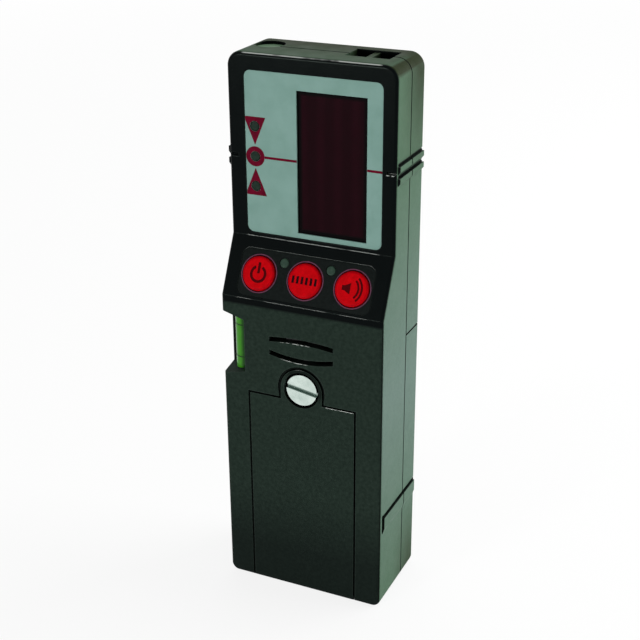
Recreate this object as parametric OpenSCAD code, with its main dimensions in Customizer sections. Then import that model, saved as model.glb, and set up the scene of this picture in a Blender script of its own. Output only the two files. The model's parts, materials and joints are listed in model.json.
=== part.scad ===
// Handheld laser receiver: two case shells, a sensor head, a sloped key panel, a level vial in
// one corner and a battery compartment behind a screwed door.
// Millimetres. +Z is up, the front faces -Y, the origin is the middle of the base.
// The height and the depth follow from what is stacked inside: battery, door screw, sound slots,
// slope and face label.

/* [Case] */
// Width of the case without the index ribs
case_w = 51; // [49:0.5:56]
// Depth of the head in front of the parting line
head_front_d = 9.7; // [9:0.1:10.5]
// Room between the battery compartment and the back wall
back_room = 4.4; // [3:0.1:8]
// Height of the slope between body and head
slope_h = 16.5; // [16:0.5:18]
// Wall of both shells
wall = 2; // [1.8:0.1:2.2]
// Corner radius at the top, seen from the front
top_corner_r = 4.2; // [4:0.1:7]
// Corner radius at the base, seen from the front
low_corner_r = 2.5; // [2.3:0.1:4]
// Edge radius round the front faces
front_edge_r = 1; // [0.5:0.1:1.4]
// Edge radius round the back
rear_edge_r = 2; // [1:0.1:2.2]
// Depth of the step in the lower back
back_step = 0.5; // [0.3:0.1:0.8]
// Width of the seam between the shells
seam_w = 0.5; // [0.2:0.1:0.6]
// Depth of the seam between the shells
seam_d = 0.5; // [0.2:0.1:0.5]

/* [Sides] */
// How far the index ribs stand out of the sides
rib_out = 0.7; // [0.4:0.1:1.2]
// Height of an index rib
rib_h = 2.4; // [2:0.1:2.5]
// Distance between the upper edges of the two index ribs
rib_pitch = 3.3; // [3.2:0.1:4.6]
// Height of the lower grip edge
grip_z = 30.9; // [26:0.1:36]
// How far the lower grip edge stands out
grip_out = 0.5; // [0.3:0.1:0.7]
// Depth of the grooves above the ribs and the grip edge
groove_d = 0.6; // [0.3:0.1:0.8]

/* [Sensor face] */
// Height of the face label
label_h = 46.9; // [44:0.1:52]
// Frame of the case to the left of the label
bezel_left = 5.25; // [4:0.05:6]
// Frame of the case to the right of the label
bezel_right = 4.25; // [4:0.05:6]
// Frame of the case above the label
bezel_top = 4.9; // [4:0.1:7]
// Frame of the case below the label
bezel_low = 1.2; // [1:0.1:3]
// Corner radius of the label
label_r = 1.9; // [1:0.1:3]
// Thickness of the label
label_t = 0.4; // [0.3:0.05:0.5]
// Depth of the recess that holds the label
label_sink = 0.6; // [0.5:0.05:0.8]
// Label shown to the left of the sensor window
window_left = 15.95; // [15:0.05:18]
// Label shown to the right of the sensor window
window_right = 4.55; // [3.5:0.05:5]
// Label shown above the sensor window
window_over = 4.5; // [3.5:0.1:6]
// Label shown below the sensor window
window_under = 1.5; // [1.2:0.1:3]
// Height of the on-grade notch above the middle of the window
grade_up = 0.55; // [-1:0.05:2]
// Distance of the lamps from the label's left edge
lamp_in = 2.95; // [2.6:0.05:4.5]
// Distance of the outer lamps from the on-grade lamp
lamp_pitch = 8.7; // [7.5:0.1:9.5]
// Diameter of a lamp
lamp_d = 2.8; // [2.4:0.1:3]

/* [Keys] */
// Diameter of a key cap
key_d = 10.1; // [9.6:0.1:11]
// Distance between keys
key_pitch = 14.6; // [14.4:0.1:15]
// Keys lie this far below the middle of the slope
key_drop = 1.45; // [1:0.05:1.6]
// How far a key stands out of the slope
key_out = 0.5; // [0.3:0.1:0.9]
// Travel of a key
key_travel = 0.5; // [0.3:0.05:0.6]
// Gap round a key cap
key_gap = 0.35; // [0.25:0.05:0.45]
// Corner radius of the key panel
panel_r = 2.5; // [1.5:0.1:4]

/* [Level vial] */
// Diameter of the vial
vial_d = 5.7; // [5.5:0.1:6.6]
// Length of the vial
vial_l = 24; // [22:0.5:26]
// Distance of the vial's axis from the front and the side
vial_inset = 5; // [4.9:0.1:5.3]
// Distance of the vial's upper end below the slope
vial_down = 4; // [3.5:0.1:6]
// Width of the corner notch on the front
notch_w = 7.2; // [6.4:0.1:7.6]
// Depth of the corner notch on the side
notch_d = 6.5; // [6:0.1:7.6]
// Height of the notch at the outer corner
notch_h = 20.3; // [17:0.1:21]

/* [Battery] */
// Width of the nine volt block
battery_w = 26.5; // [25:0.1:26.5]
// Depth of the nine volt block
battery_d = 17.5; // [16:0.1:17.5]
// Height of the nine volt block without its terminals
battery_h = 46.4; // [44:0.1:46.4]

/* [Battery door] */
// How far the door reaches past its seal at the sides
door_side = 1.25; // [1:0.05:2]
// How far the door reaches above the battery compartment
door_over = 5.8; // [5:0.1:8]
// Gap round the door
door_gap = 0.3; // [0.2:0.05:0.4]
// Height of the door screw above the door's upper edge
screw_up = 3.8; // [3.5:0.1:4.5]
// Diameter of the screw head
screw_head_d = 9.7; // [9.5:0.1:10.8]
// Lift of the screw until it is free of its thread
screw_lift = 3; // [2:0.1:3.2]
// Turn of the screw slot from level
slot_turn = -10; // [-45:1:45]

/* [Back] */
// Height of the clamp thread above the foot of the slope
clamp_up = 4.5; // [0:0.5:10]
// Core diameter of the clamp thread
clamp_core_d = 5.1; // [4.9:0.1:5.6]
// Length of the clamp thread
clamp_l = 7.6; // [7:0.1:8.5]

/* [Hidden] */
$fn = 64;
// Parts that the source draws

// Play between parts that are fixed to each other, and between parts that run in each other
fixed_fit = 0.02;
run_fit = 0.06;
// Gap round flat trim that is let into the case
trim_gap = 0.1;
// Clearance between parts that pass each other inside the case
clear = 0.3;
// Overlap of a feature into the wall that carries it
root = 1;
// Length by which a cut runs past the surface it opens
past = 1;

// Depths behind the front face: the screw's cup, its clip, its well and the threaded insert
cup_depth = 2.5;
cup_floor_t = 1.6;
clip_gap = 0.2;
clip_t = 0.6;
clip_depth = cup_depth + cup_floor_t + screw_lift + clip_gap;
well_depth = clip_depth + clip_t + clear;
insert_l = 6;
insert_wall = 1.5;

// Depths of the battery compartment and of the rear shell
battery_gap = 1.1;
battery_play = 0.2;
bay_wall = 1.3;
bay_depth = wall + battery_gap + battery_d + battery_play + bay_wall;
board_t = 1.6;
board_set = 0.2;
board_room = 1.1;
clamp_seat = 0.8;
rear_d = board_set + board_t + board_room + clamp_seat + clamp_l;
body_d = max(bay_depth + back_room + back_step + wall,
    well_depth + insert_l + insert_wall + clear + rear_d);

// Planes of the case
front_y = -body_d / 2;
back_y = body_d / 2;
part_y = back_y - rear_d;
head_y = part_y - head_front_d;
seat_y = front_y + wall;
flange_y = head_y + wall;
inner_x = case_w / 2 - wall;

// Door hinge line at the foot of the door, and the hooks that hold the foot
door_inset = 0.1;
door_t = wall - door_inset;
ledge_t = 1.5;
ledge_w = 1.5;
ledge_top = 3;
hinge_y = front_y + door_t / 2;
hinge_z = door_t / 2;
bay_low_z = 3.5;
tongue_x = 9;
tongue_w = 7;
tongue_up = 0.4;
tongue_z = bay_low_z + tongue_up;
hook_gap = 0.8;
hook_t = 1;
hook_y = seat_y + ledge_t + hook_gap;
hook_down = 1.1;
hook_z = bay_low_z - hook_down;
hook_floor_z = 1;

// Battery with its contacts above it; the hooks swing clear below it
battery_r = 2;
battery_front_y = seat_y + battery_gap;
battery_low_z = 7.2;
hook_clear = 0.2;
hook_reach = hook_y + hook_t - hinge_y;
hook_swing = battery_low_z - hinge_z - hook_clear;
tongue_t = hinge_z + sqrt(pow(hook_swing, 2) - pow(hook_reach, 2)) - tongue_z;
stud_r = 2.9;
socket_r = 4.2;
socket_floor = 0.6;
terminal_h = 2.1;
terminal_pitch = 12.7;
terminal_z = battery_low_z + battery_h;
terminal_y = battery_front_y + battery_d / 2;
contact_w = 5;
contact_t = 0.4;
contact_foot = 2.4;
contact_gap = 0.2;
contact_rise = 2.2;
contact_arm_z = terminal_z + terminal_h + contact_rise;
contact_toe = 1;
contact_toe_y = terminal_y - contact_toe;
pad_w = 20;
pad_inset = 7;
pad_gap = 0.25;

// Battery compartment and its door
bay_play = 0.65;
bay_w = battery_w + 2 * bay_play;
bay_top_gap = 1.2;
bay_high_z = contact_arm_z + contact_t + bay_top_gap;
bay_back_y = battery_front_y + battery_d + battery_play;
sill_d = 3.1;
sill_y = battery_front_y + sill_d;
seal_off = 0.6;
seal_w = 1.1;
seal_t = 0.7;
seal_r = 1.2;
seal_gap = 0.05;
door_w = bay_w + 2 * (seal_off + seal_w + door_side);
door_h = bay_high_z + door_over;
shadow_w = 0.3;
shadow_d = 0.4;
tab_shadow_w = 0.6;
frame_gap = 0.3;
frame_w = 1.2;
frame_h = 1;

// Door screw in its cup, with its clip, well and insert
door_screw_z = door_h + screw_up;
tab_rim = 1.8;
tab_r = screw_head_d / 2 + tab_rim;
cup_wall = 0.95;
cup_floor_y = front_y + cup_depth;
cup_end_y = cup_floor_y + cup_floor_t;
screw_r = 2;
screw_hole_r = 2.3;
screw_sink = 0.3;
screw_head_y = front_y + screw_sink;
screw_slot_w = 1.4;
screw_slot_d = 1;
clip_y = front_y + clip_depth;
clip_r = 3.8;
clip_groove_r = 1.6;
clip_play = 0.05;
clip_mouth = 2.2;
well_y = front_y + well_depth;
well_wall = 1.2;
insert_r = 3.5;
insert_bore_r = 2.5;

// Sound slots above the screw, and the buzzer behind them
slot_up = 5.85;
slot_z = door_screw_z + tab_r + slot_up;
slot_half = 10.2;
slot_open = 1.5;
slot_high_bow = 0.7;
slot_low_bow = 1.3;
slot_mid = 3.05;
buzzer_up = 2.1;
buzzer_z = slot_z + buzzer_up;
buzzer_r = 6;
buzzer_h = 5;
buzzer_ring = 1.1;
buzzer_seat = 2.5;
buzzer_gap = 0.8;
buzzer_hole_r = 1.2;
buzzer_hole_l = 1.5;
buzzer_pin_x = 3.25;
buzzer_pin_r = 0.35;

// Slope above the slots, and the step in the back
slope_up = 13.9;
slope_low_z = slot_z + slope_up;
slope_high_z = slope_low_z + slope_h;
slope_tilt = atan2(head_y - front_y, slope_h);
slope_mid_y = (front_y + head_y) / 2;
slope_mid_z = (slope_low_z + slope_high_z) / 2;
back_step_down = 15.5;
back_step_z = slope_low_z - back_step_down;
// The head reaches this far down behind the slope
head_root = 20;

// Face label, window and top of the case
label_z = slope_high_z + bezel_low;
label_w = case_w - bezel_left - bezel_right;
label_x = (bezel_left - bezel_right) / 2;
case_h = label_z + label_h + bezel_top;
window_w = label_w - window_left - window_right;
window_h = label_h - window_over - window_under;
window_x = label_x + (window_left - window_right) / 2;
window_mid_z = label_z + window_under + window_h / 2;
window_sink = 0.9;
window_flange = 1.5;
window_flange_t = 1.2;
grade_z = window_mid_z + grade_up;

// Lamps in the face and on the slope
lamp_x = label_x - label_w / 2 + lamp_in;
lamp_r = lamp_d / 2;
lamp_l = 5;
lamp_edge_r = 0.4;
lamp_rim = 0.45;
lamp_rim_t = 1;
lead_r = 0.25;
lead_pitch = 2.54;

// Sensor parts behind the window
baffle_wall = 1.2;
baffle_web = 0.8;
diode_gap = 0.4;
diode_w = (window_w - baffle_web) / 2 - 2 * diode_gap;
diode_x = (window_w + baffle_web) / 4;
diode_t = 2.2;
diode_rows = 4;
diode_pitch = window_h / diode_rows;
diode_h = diode_pitch - 2 * diode_gap;

// Ribs, grips and grooves of the sides
rib_up = 1.9;
rib_land = 1.5;
rib_tops = [grade_z + rib_up, grade_z + rib_up - rib_pitch];
grip_h = 5.3;
grip_land = 3.6;
grip_y = front_y + 2.2;
groove_w = 0.8;
grade_cut_l = 6;
grade_cut_w = 0.8;
back_cut_w = 0.6;
back_cut_z = back_step_z + 4;

// Case screws and their bosses
boss_in = 2.7;
boss_x = inner_x - boss_in;
boss_r = 3;
low_boss_z = 8.5;
mid_boss_up = 4.9;
high_boss_down = 13;
boss_heights = [low_boss_z, door_screw_z + mid_boss_up, case_h - high_boss_down];
case_screw_r = 1.3;
case_screw_bite = 6.6;
case_head_r = 2.4;
case_head_h = 1.8;
screw_web = 3;
bore_gap = 0.2;
drill_end = 0.4;

// Main board on its posts
board_y = part_y + board_set;
board_up = 2.2;
board_low_z = bay_high_z + bay_wall + board_up;
board_down = 9;
board_high_z = case_h - board_down;
board_side = 1.2;
board_w = 2 * (inner_x - board_side);
board_post_r = 2.2;
high_post_in = 3;
high_post_up = 6;
low_post_x = 11.8;
low_post_up = 3.6;
high_post_x = inner_x - high_post_in;
high_post_z = slope_high_z + high_post_up;
low_post_z = board_low_z + low_post_up;
board_posts = [[-high_post_x, high_post_z], [high_post_x, high_post_z],
    [-low_post_x, low_post_z], [low_post_x, low_post_z]];
board_screw_r = 1;
board_screw_bite = 5;
board_head_r = 1.9;
board_head_h = 1.4;
contact_tail = 3;
contact_end_z = board_low_z + contact_tail;

// Key parts, counted inwards from the slope
key_r = key_d / 2;
key_edge_r = 0.4;
key_flange_w = 0.9;
key_flange_r = key_r + key_flange_w;
key_flange_t = 0.9;
key_rest = 0.05;
key_flange_top = -wall - key_rest;
stem_r = 2.2;
stem_l = 1.2;
plunger_r = 1.7;
plunger_l = 2;
plunger_out = 1;
plunger_top = key_flange_top - key_flange_t - stem_l;
switch_w = 6;
switch_h = 3.4;
switch_top = plunger_top - plunger_out;
switch_spare = 0.2;

// Key panel, measured from the middle of the slope
panel_t = 0.4;
panel_sink = 0.5;
panel_side = 1.15;
panel_under = 1.8;
panel_over = 1.95;
panel_w = 2 * (key_pitch + key_r + panel_side);
panel_low = -key_drop - key_r - panel_under;
panel_high = -key_drop + key_r + panel_over;
status_in = 2.89;
status_y = panel_high - status_in;

// Key board on two posts that pass between the keys
key_post_r = 1.9;
key_post_way = key_flange_r + key_post_r + clear;
key_post_y = -key_drop - clear - sqrt(max(0, pow(key_post_way, 2) - pow(key_pitch / 2, 2)));
key_board_top = switch_top - switch_h;
key_board_under = 1.25;
key_board_low = key_post_y - key_board_under;
key_board_high = 7.5;
key_board_side = 1.6;
key_board_w = 2 * (inner_x - key_board_side);
key_screw_r = 0.8;
key_screw_bite = 3.6;
key_head_r = 1.5;
key_head_h = 1.1;
flex_w = 10;
flex_t = 0.3;
flex_start = 3.5;
flex_land = 3;

// Vial in its corner block
vial_r = vial_d / 2;
vial_x = -case_w / 2 + vial_inset;
vial_y = front_y + vial_inset;
vial_low_z = slope_low_z - vial_down - vial_l;
vial_wall = 0.8;
vial_core_r = vial_r - vial_wall;
vial_plug_l = 2;
bubble_r = 1.5;
bubble_drop = 1.6;
block_wall = 1.6;
notch_up = 0.85;
notch_z = vial_low_z + vial_l / 2 + notch_up;
notch_rise = 3;
notch_fall = 4.1;

// Clamp insert in the back, the chip above it, and the pockets in the top
clamp_z = slope_low_z + clamp_up;
clamp_skin = 1.5;
clamp_r = clamp_core_d / 2 + clamp_skin;
clamp_wall = 1.8;
clamp_floor = 0.6;
chip_w = 12;
chip_t = 0.9;
chip_up = 16;
chip_z = clamp_z + chip_up;
pocket_wall = 1.3;
magnet_r = 4.3;
magnet_t = 3;
magnet_sink = 0.9;
magnet_x = -inner_x + magnet_r + pocket_wall;
magnet_back = 2.4;
magnet_y = part_y + magnet_back;
pocket_w = 13.1;
pocket_in = 9.85;
pocket_front = 2.9;
pocket_back = 6.2;
pocket_x = inner_x - pocket_in;
pocket_y0 = part_y - pocket_front;
pocket_y1 = part_y + pocket_back;
pocket_deep = 6.4;
strap_bar_left = 0.5;
strap_bar_x = pocket_x - strap_bar_left;
strap_bar_w = 1.7;
strap_bar_h = 2;
strap_bar_drop = 0.6;

case_colour = [0.12, 0.15, 0.14];
red_colour = [0.85, 0.05, 0.08];
board_colour = [0.1, 0.4, 0.2];
metal_colour = [0.8, 0.8, 0.8];
brass_colour = [0.8, 0.65, 0.3];
black_colour = [0.07, 0.07, 0.07];

// Quarter section of a slab: r wide, h high, with the outer top edge rounded by e
module soft_end(r, h, e) {
    square([r - e, h]);
    square([r, h - e]);
    intersection() {
        translate([r - e, h - e]) circle(e);
        square([r, h]);
    }
}

// Full cross-section of a slab: w wide, h high, with both top edges rounded by e
module soft_strip(w, h, e) {
    translate([-w / 2 + e, 0]) square([w - 2 * e, h]);
    translate([-w / 2, 0]) square([w, h - e]);
    for (side = [-1, 1]) translate([side * (w / 2 - e), h - e]) circle(e);
}

// Slab that stands h high on its outline, with rounded corners and a rounded top edge
module soft_slab(w, low, high, r_low, r_high, h, e) {
    for (side = [-1, 1]) {
        translate([side * (w / 2 - r_high), high - r_high, 0]) rotate_extrude() soft_end(r_high, h, e);
        translate([side * (w / 2 - r_low), low + r_low, 0]) rotate_extrude() soft_end(r_low, h, e);
    }
    translate([0, high - r_high, 0]) rotate([90, 0, 0])
        linear_extrude(high - r_high - low - r_low) soft_strip(w, h, e);
    translate([-w / 2 + r_high, high - r_high, 0]) rotate([90, 0, 90])
        linear_extrude(w - 2 * r_high) soft_end(r_high, h, e);
    translate([w / 2 - r_low, low + r_low, 0]) rotate([90, 0, -90])
        linear_extrude(w - 2 * r_low) soft_end(r_low, h, e);
}

// Rounded rectangle about the point it is placed at
module round_rect(w, h, r) {
    square([w - 2 * r, h], center = true);
    square([w, h - 2 * r], center = true);
    for (sx = [-1, 1], sy = [-1, 1]) translate([sx * (w / 2 - r), sy * (h / 2 - r)]) circle(r);
}

// Draws an XZ outline as a plate from y0 to y1
module plate_y(y0, y1) {
    translate([0, y1, 0]) rotate([90, 0, 0]) linear_extrude(y1 - y0) children();
}

// Draws a YZ outline as a bar of width w about x
module bar_x(x, w) {
    translate([x - w / 2, 0, 0]) rotate([90, 0, 90]) linear_extrude(w) children();
}

// Round bar along Y from y0 to y1
module rod_y(x, z, y0, y1, r) {
    translate([x, y1, z]) rotate([90, 0, 0]) cylinder(h = y1 - y0, r = r);
}

// Box given by its low and high corners
module box(low, high) {
    translate(low) cube(high - low);
}

// Pan head screw with a cross recess: shank of length l below its seat, head above it
module pan_screw(r, l, head_r, head_h) difference() {
    union() {
        translate([0, 0, -l]) cylinder(h = l + head_h / 2, r = r);
        cylinder(h = head_h, r = head_r);
    }
    for (turn = [0, 90]) translate([0, 0, head_h]) rotate([0, 0, turn])
        cube([1.2 * head_r, head_r / 4, head_h], center = true);
}

// Places children on the slope: X to the right, Y up the slope, Z out of it
module on_slope() {
    translate([0, slope_mid_y, slope_mid_z]) rotate([90 - slope_tilt, 0, 0]) children();
}

// Outline of the case seen from the front, moved in by an inset
module case_outline(inset) {
    x = case_w / 2 - inset;
    r_low = low_corner_r - inset;
    r_high = top_corner_r - inset;
    low = inset + r_low;
    high = case_h - inset - r_high;
    translate([-x, low]) square([2 * x, high - low]);
    translate([-x + r_low, inset]) square([2 * (x - r_low), high - inset]);
    translate([-x + r_high, low]) square([2 * (x - r_high), high + r_high - low]);
    for (side = [-1, 1]) {
        translate([side * (x - r_low), low]) circle(r_low);
        translate([side * (x - r_high), high]) circle(r_high);
    }
}

// Front slab of the case from a height up, with its face at face_y
module front_slab(face_y, low) {
    translate([0, part_y, 0]) rotate([90, 0, 0])
        soft_slab(case_w, low, case_h, low_corner_r, top_corner_r, part_y - face_y, front_edge_r);
}

// Outer form of the front shell: the body cut back along the slope, and the head behind it
module front_form() {
    intersection() {
        front_slab(front_y, 0);
        on_slope() rotate([90, 0, 0]) translate([0, -case_h, -case_h])
            linear_extrude(2 * case_h) soft_strip(case_w, case_h, front_edge_r);
    }
    front_slab(head_y, slope_low_z - head_root);
}

// Room inside the front shell
module front_room() {
    drop = wall * tan(slope_tilt / 2);
    intersection() {
        bar_x(0, 2 * inner_x) polygon([[part_y + past, 0], [seat_y, 0], [seat_y, slope_low_z - drop],
            [flange_y, slope_high_z - drop], [flange_y, case_h], [part_y + past, case_h]]);
        plate_y(front_y, part_y + past) case_outline(wall);
    }
}

// Seam: a shallow groove all round the rear shell where it meets the front shell
module seam() plate_y(part_y - past, part_y + seam_w) difference() {
    translate([-case_w, -past]) square([2 * case_w, case_h + 2 * past]);
    case_outline(seam_d);
}

// Step on both sides, square at its upper edge z, that runs back into the wall h further down
module side_step(z, out, land, h, y0, y1) {
    for (side = [-1, 1]) scale([side, 1, 1]) translate([case_w / 2, 0, z])
        plate_y(y0, y1) polygon([[-root, 0], [out, 0], [out, -land], [0, -h], [-root, -h]]);
}

// Pair of index ribs and the lower grip edge
module side_ribs(y0, y1) for (z = rib_tops) side_step(z, rib_out, rib_land, rib_h, y0, y1);
module side_grips(y0, y1) side_step(grip_z, grip_out, grip_land, grip_h, y0, y1);

// Groove in both sides
module side_groove(y0, y1, z0, z1) {
    for (side = [-1, 1]) scale([side, 1, 1])
        box([case_w / 2 - groove_d, y0, z0], [case_w / 2 + rib_out + past, y1, z1]);
}

// Outline of the door opening and of the door: the door's panel and its round tab
module door_outline(grow, low) {
    translate([-door_w / 2 - grow, low]) square([door_w + 2 * grow, door_h + grow - low]);
    translate([-tab_r - grow, door_h / 2]) square([2 * (tab_r + grow), door_screw_z - door_h / 2]);
    translate([0, door_screw_z]) circle(tab_r + grow);
}

// Path of the door seal round the battery opening, w wide
module seal_outline(w) {
    across = bay_w + 2 * seal_off + seal_w;
    along = bay_high_z - bay_low_z + 2 * seal_off + seal_w;
    translate([0, (bay_low_z + bay_high_z) / 2]) difference() {
        round_rect(across + w, along + w, seal_r);
        square([across - w, along - w], center = true);
    }
}

// Two curved sound slots that bow away from each other
module sound_slots() {
    for (side = [-1, 1]) translate([0, slot_z]) scale([1, side]) intersection() {
        bow = side > 0 ? slot_high_bow : slot_low_bow;
        r = (slot_half * slot_half + bow * bow) / (2 * bow);
        translate([0, slot_mid - r]) difference() {
            circle(r + slot_open / 2, $fn = 128);
            circle(r - slot_open / 2, $fn = 128);
        }
        translate([-slot_half, 0]) square([2 * slot_half, slot_mid + slot_open]);
    }
}

// Walls of the battery compartment and the ledge that the door shuts on
module bay_walls() {
    outer_x = bay_w / 2 + bay_wall;
    outer_z = bay_high_z + bay_wall;
    ledge_x = door_w / 2 + door_gap + ledge_w;
    box([-outer_x, seat_y - root, root], [outer_x, part_y, outer_z]);
    box([-outer_x, part_y - root, wall + clear], [outer_x, bay_back_y + bay_wall, outer_z]);
    box([-ledge_x, seat_y - root, root], [ledge_x, seat_y + ledge_t, door_h + ledge_top]);
}

// Room for the battery, for the hooks of the door and for the contact tails
module bay_room() {
    box([-bay_w / 2, front_y - past, battery_low_z], [bay_w / 2, bay_back_y, bay_high_z]);
    box([-bay_w / 2, front_y - past, bay_low_z], [bay_w / 2, sill_y, battery_low_z + past]);
    for (side = [-1, 1]) {
        hook_x = side * tongue_x;
        hook_half = tongue_w / 2 + door_gap;
        box([hook_x - hook_half, seat_y + ledge_t, hook_floor_z],
            [hook_x + hook_half, sill_y, bay_low_z + past]);
        tail_x = side * terminal_pitch / 2;
        tail_half = contact_w / 2 + contact_gap;
        box([tail_x - tail_half, board_y - contact_t - contact_gap, bay_high_z - past],
            [tail_x + tail_half, board_y + contact_gap, bay_high_z + bay_wall + past]);
    }
}

// Well behind the door's screw tab, with the seat of the threaded insert at its end
module screw_well() {
    rod_y(0, door_screw_z, seat_y - root, well_y + insert_wall, tab_r + door_gap + well_wall);
    rod_y(0, door_screw_z, seat_y, well_y + insert_l + insert_wall, insert_r + insert_wall);
}

// Ring that centres the buzzer
module buzzer_holder() difference() {
    rod_y(0, buzzer_z, seat_y - root, seat_y + buzzer_seat, buzzer_r + buzzer_ring);
    rod_y(0, buzzer_z, seat_y, seat_y + buzzer_seat + past, buzzer_r + fixed_fit);
}

// Inner face of the front wall at a height
function wall_y(z) = z > slope_high_z ? flange_y : seat_y;

// Bosses for the case screws and posts for both boards
module front_posts() {
    for (side = [-1, 1], z = boss_heights) rod_y(side * boss_x, z, wall_y(z) - root, part_y, boss_r);
    for (post = board_posts) rod_y(post[0], post[1], wall_y(post[1]) - root, board_y, board_post_r);
    on_slope() for (side = [-1, 1]) translate([side * key_pitch / 2, key_post_y, key_board_top])
        cylinder(h = -key_board_top - root, r = key_post_r);
}

// Screw holes in those bosses and posts
module front_post_holes() {
    for (side = [-1, 1], z = boss_heights)
        rod_y(side * boss_x, z, part_y - case_screw_bite - drill_end, part_y + past,
            case_screw_r + fixed_fit);
    for (post = board_posts)
        rod_y(post[0], post[1], board_y - board_screw_bite - drill_end, board_y + past,
            board_screw_r + fixed_fit);
    on_slope() for (side = [-1, 1]) translate([side * key_pitch / 2, key_post_y, key_board_top - past])
        cylinder(h = past + key_screw_bite + drill_end, r = key_screw_r + fixed_fit);
}

// Room that flat parts behind the face leave for the bosses and board posts
module post_room() {
    for (side = [-1, 1], z = boss_heights) rod_y(side * boss_x, z, front_y, back_y, boss_r + clear);
    for (post = board_posts) rod_y(post[0], post[1], front_y, board_y, board_post_r + clear);
}

// Round pocket in the top for the magnet
module magnet_pocket() {
    translate([magnet_x, magnet_y, case_h - magnet_sink - magnet_t])
        cylinder(h = magnet_sink + magnet_t + past, r = magnet_r + trim_gap);
}

// Pocket in the top for a strap, round its bar
module strap_pocket() {
    bar_top = case_h - strap_bar_drop;
    difference() {
        box([pocket_x - pocket_w / 2, pocket_y0, case_h - pocket_deep],
            [pocket_x + pocket_w / 2, pocket_y1, case_h + past]);
        box([strap_bar_x - strap_bar_w / 2, pocket_y0 - past, bar_top - strap_bar_h],
            [strap_bar_x + strap_bar_w / 2, pocket_y1 + past, bar_top]);
    }
}

// Walls round both top pockets between two depths, moved out by grow
module top_pocket_walls(y0, y1, grow) {
    thick = pocket_wall + grow;
    intersection() {
        union() {
            translate([magnet_x, magnet_y, case_h - magnet_sink - magnet_t - thick])
                cylinder(h = magnet_sink + magnet_t, r = magnet_r + thick);
            box([pocket_x - pocket_w / 2 - thick, pocket_y0 - thick, case_h - pocket_deep - thick],
                [pocket_x + pocket_w / 2 + thick, pocket_y1 + thick, case_h - root]);
        }
        box([-inner_x - root, y0, 0], [inner_x + root, y1, case_h]);
    }
}

// Corner block that holds the vial upright
module vial_block() {
    reach = vial_inset + vial_r + block_wall;
    box([-case_w / 2 + root, front_y + root, vial_low_z - block_wall],
        [-case_w / 2 + reach, front_y + reach, vial_low_z + vial_l]);
}

// Notch that opens the corner to the vial, flared towards the corner
module vial_notch() {
    low = notch_z - notch_h / 2;
    high = notch_z + notch_h / 2;
    diagonal = notch_w * sqrt(2);
    intersection() {
        box([-case_w / 2 - past, front_y - past, 0],
            [-case_w / 2 + notch_w, front_y + notch_d, case_h]);
        translate([-case_w / 2, front_y, 0]) rotate([0, 0, 45]) plate_y(-2 * notch_w, 2 * notch_w)
            polygon([[-diagonal, low - notch_rise], [diagonal, low + notch_rise],
                [diagonal, high - notch_fall], [-diagonal, high + notch_fall]]);
    }
}

// Cuts in the head for the label, the window, the lamps and the on-grade notch
module face_cuts() {
    plate_y(head_y - past, head_y + label_sink) translate([label_x, label_z + label_h / 2])
        round_rect(label_w + 2 * trim_gap, label_h + 2 * trim_gap, label_r + trim_gap);
    plate_y(head_y, flange_y + past) window_opening();
    for (i = [-1:1])
        rod_y(lamp_x, grade_z + i * lamp_pitch, head_y, flange_y + past, lamp_r + trim_gap);
    for (side = [-1, 1]) translate([side * case_w / 2, head_y, grade_z]) rotate([45, 0, 0])
        cube([grade_cut_l, grade_cut_w, grade_cut_w], center = true);
}

// Opening for the sensor window
module window_opening() translate([window_x, window_mid_z])
    square([window_w + trim_gap, window_h + trim_gap], center = true);

// Openings for the keys and the status lamps, cut from a depth up
module key_openings(low) {
    for (i = [-1:1]) translate([i * key_pitch, -key_drop, low])
        cylinder(h = past - low, r = key_r + key_gap);
    for (side = [-1, 1]) translate([side * key_pitch / 2, status_y, low])
        cylinder(h = past - low, r = lamp_r + trim_gap);
}

// Outline of the key panel on the slope, grown by a gap
module panel_outline(grow) translate([0, (panel_low + panel_high) / 2])
    round_rect(panel_w + 2 * grow, panel_high - panel_low + 2 * grow, panel_r + grow);

module front_shell() color(case_colour) difference() {
    union() {
        difference() {
            front_form();
            front_room();
        }
        bay_walls();
        vial_block();
        screw_well();
        buzzer_holder();
        front_posts();
        side_ribs(head_y + front_edge_r, part_y);
        side_grips(grip_y, part_y);
        top_pocket_walls(front_y, part_y, 0);
    }
    face_cuts();
    on_slope() {
        translate([0, 0, -panel_sink]) linear_extrude(panel_sink + past) panel_outline(trim_gap);
        key_openings(-wall - past);
    }
    plate_y(front_y - past, seat_y + buzzer_seat + past) sound_slots();
    for (z = rib_tops) side_groove(head_y + front_edge_r, part_y + past, z, z + groove_w);
    side_groove(grip_y - groove_w, part_y + past, grip_z, grip_z + groove_w);
    side_groove(grip_y - groove_w, grip_y, grip_z - grip_h, grip_z + past);
    plate_y(front_y - past, seat_y) door_outline(door_gap, -past);
    plate_y(front_y - past, front_y + shadow_d) door_outline(door_gap + shadow_w, -past);
    rod_y(0, door_screw_z, front_y - past, front_y + shadow_d, tab_r + door_gap + tab_shadow_w);
    plate_y(seat_y - past, seat_y + seal_t + seal_gap) seal_outline(seal_w + 2 * seal_gap);
    bay_room();
    rod_y(0, door_screw_z, front_y - past, well_y, tab_r + door_gap);
    rod_y(0, door_screw_z, well_y - past, well_y + insert_l, insert_r + fixed_fit);
    vial_notch();
    translate([vial_x, vial_y, vial_low_z]) cylinder(h = vial_l + past, r = vial_r + fixed_fit);
    front_post_holes();
    magnet_pocket();
    strap_pocket();
}

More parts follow.
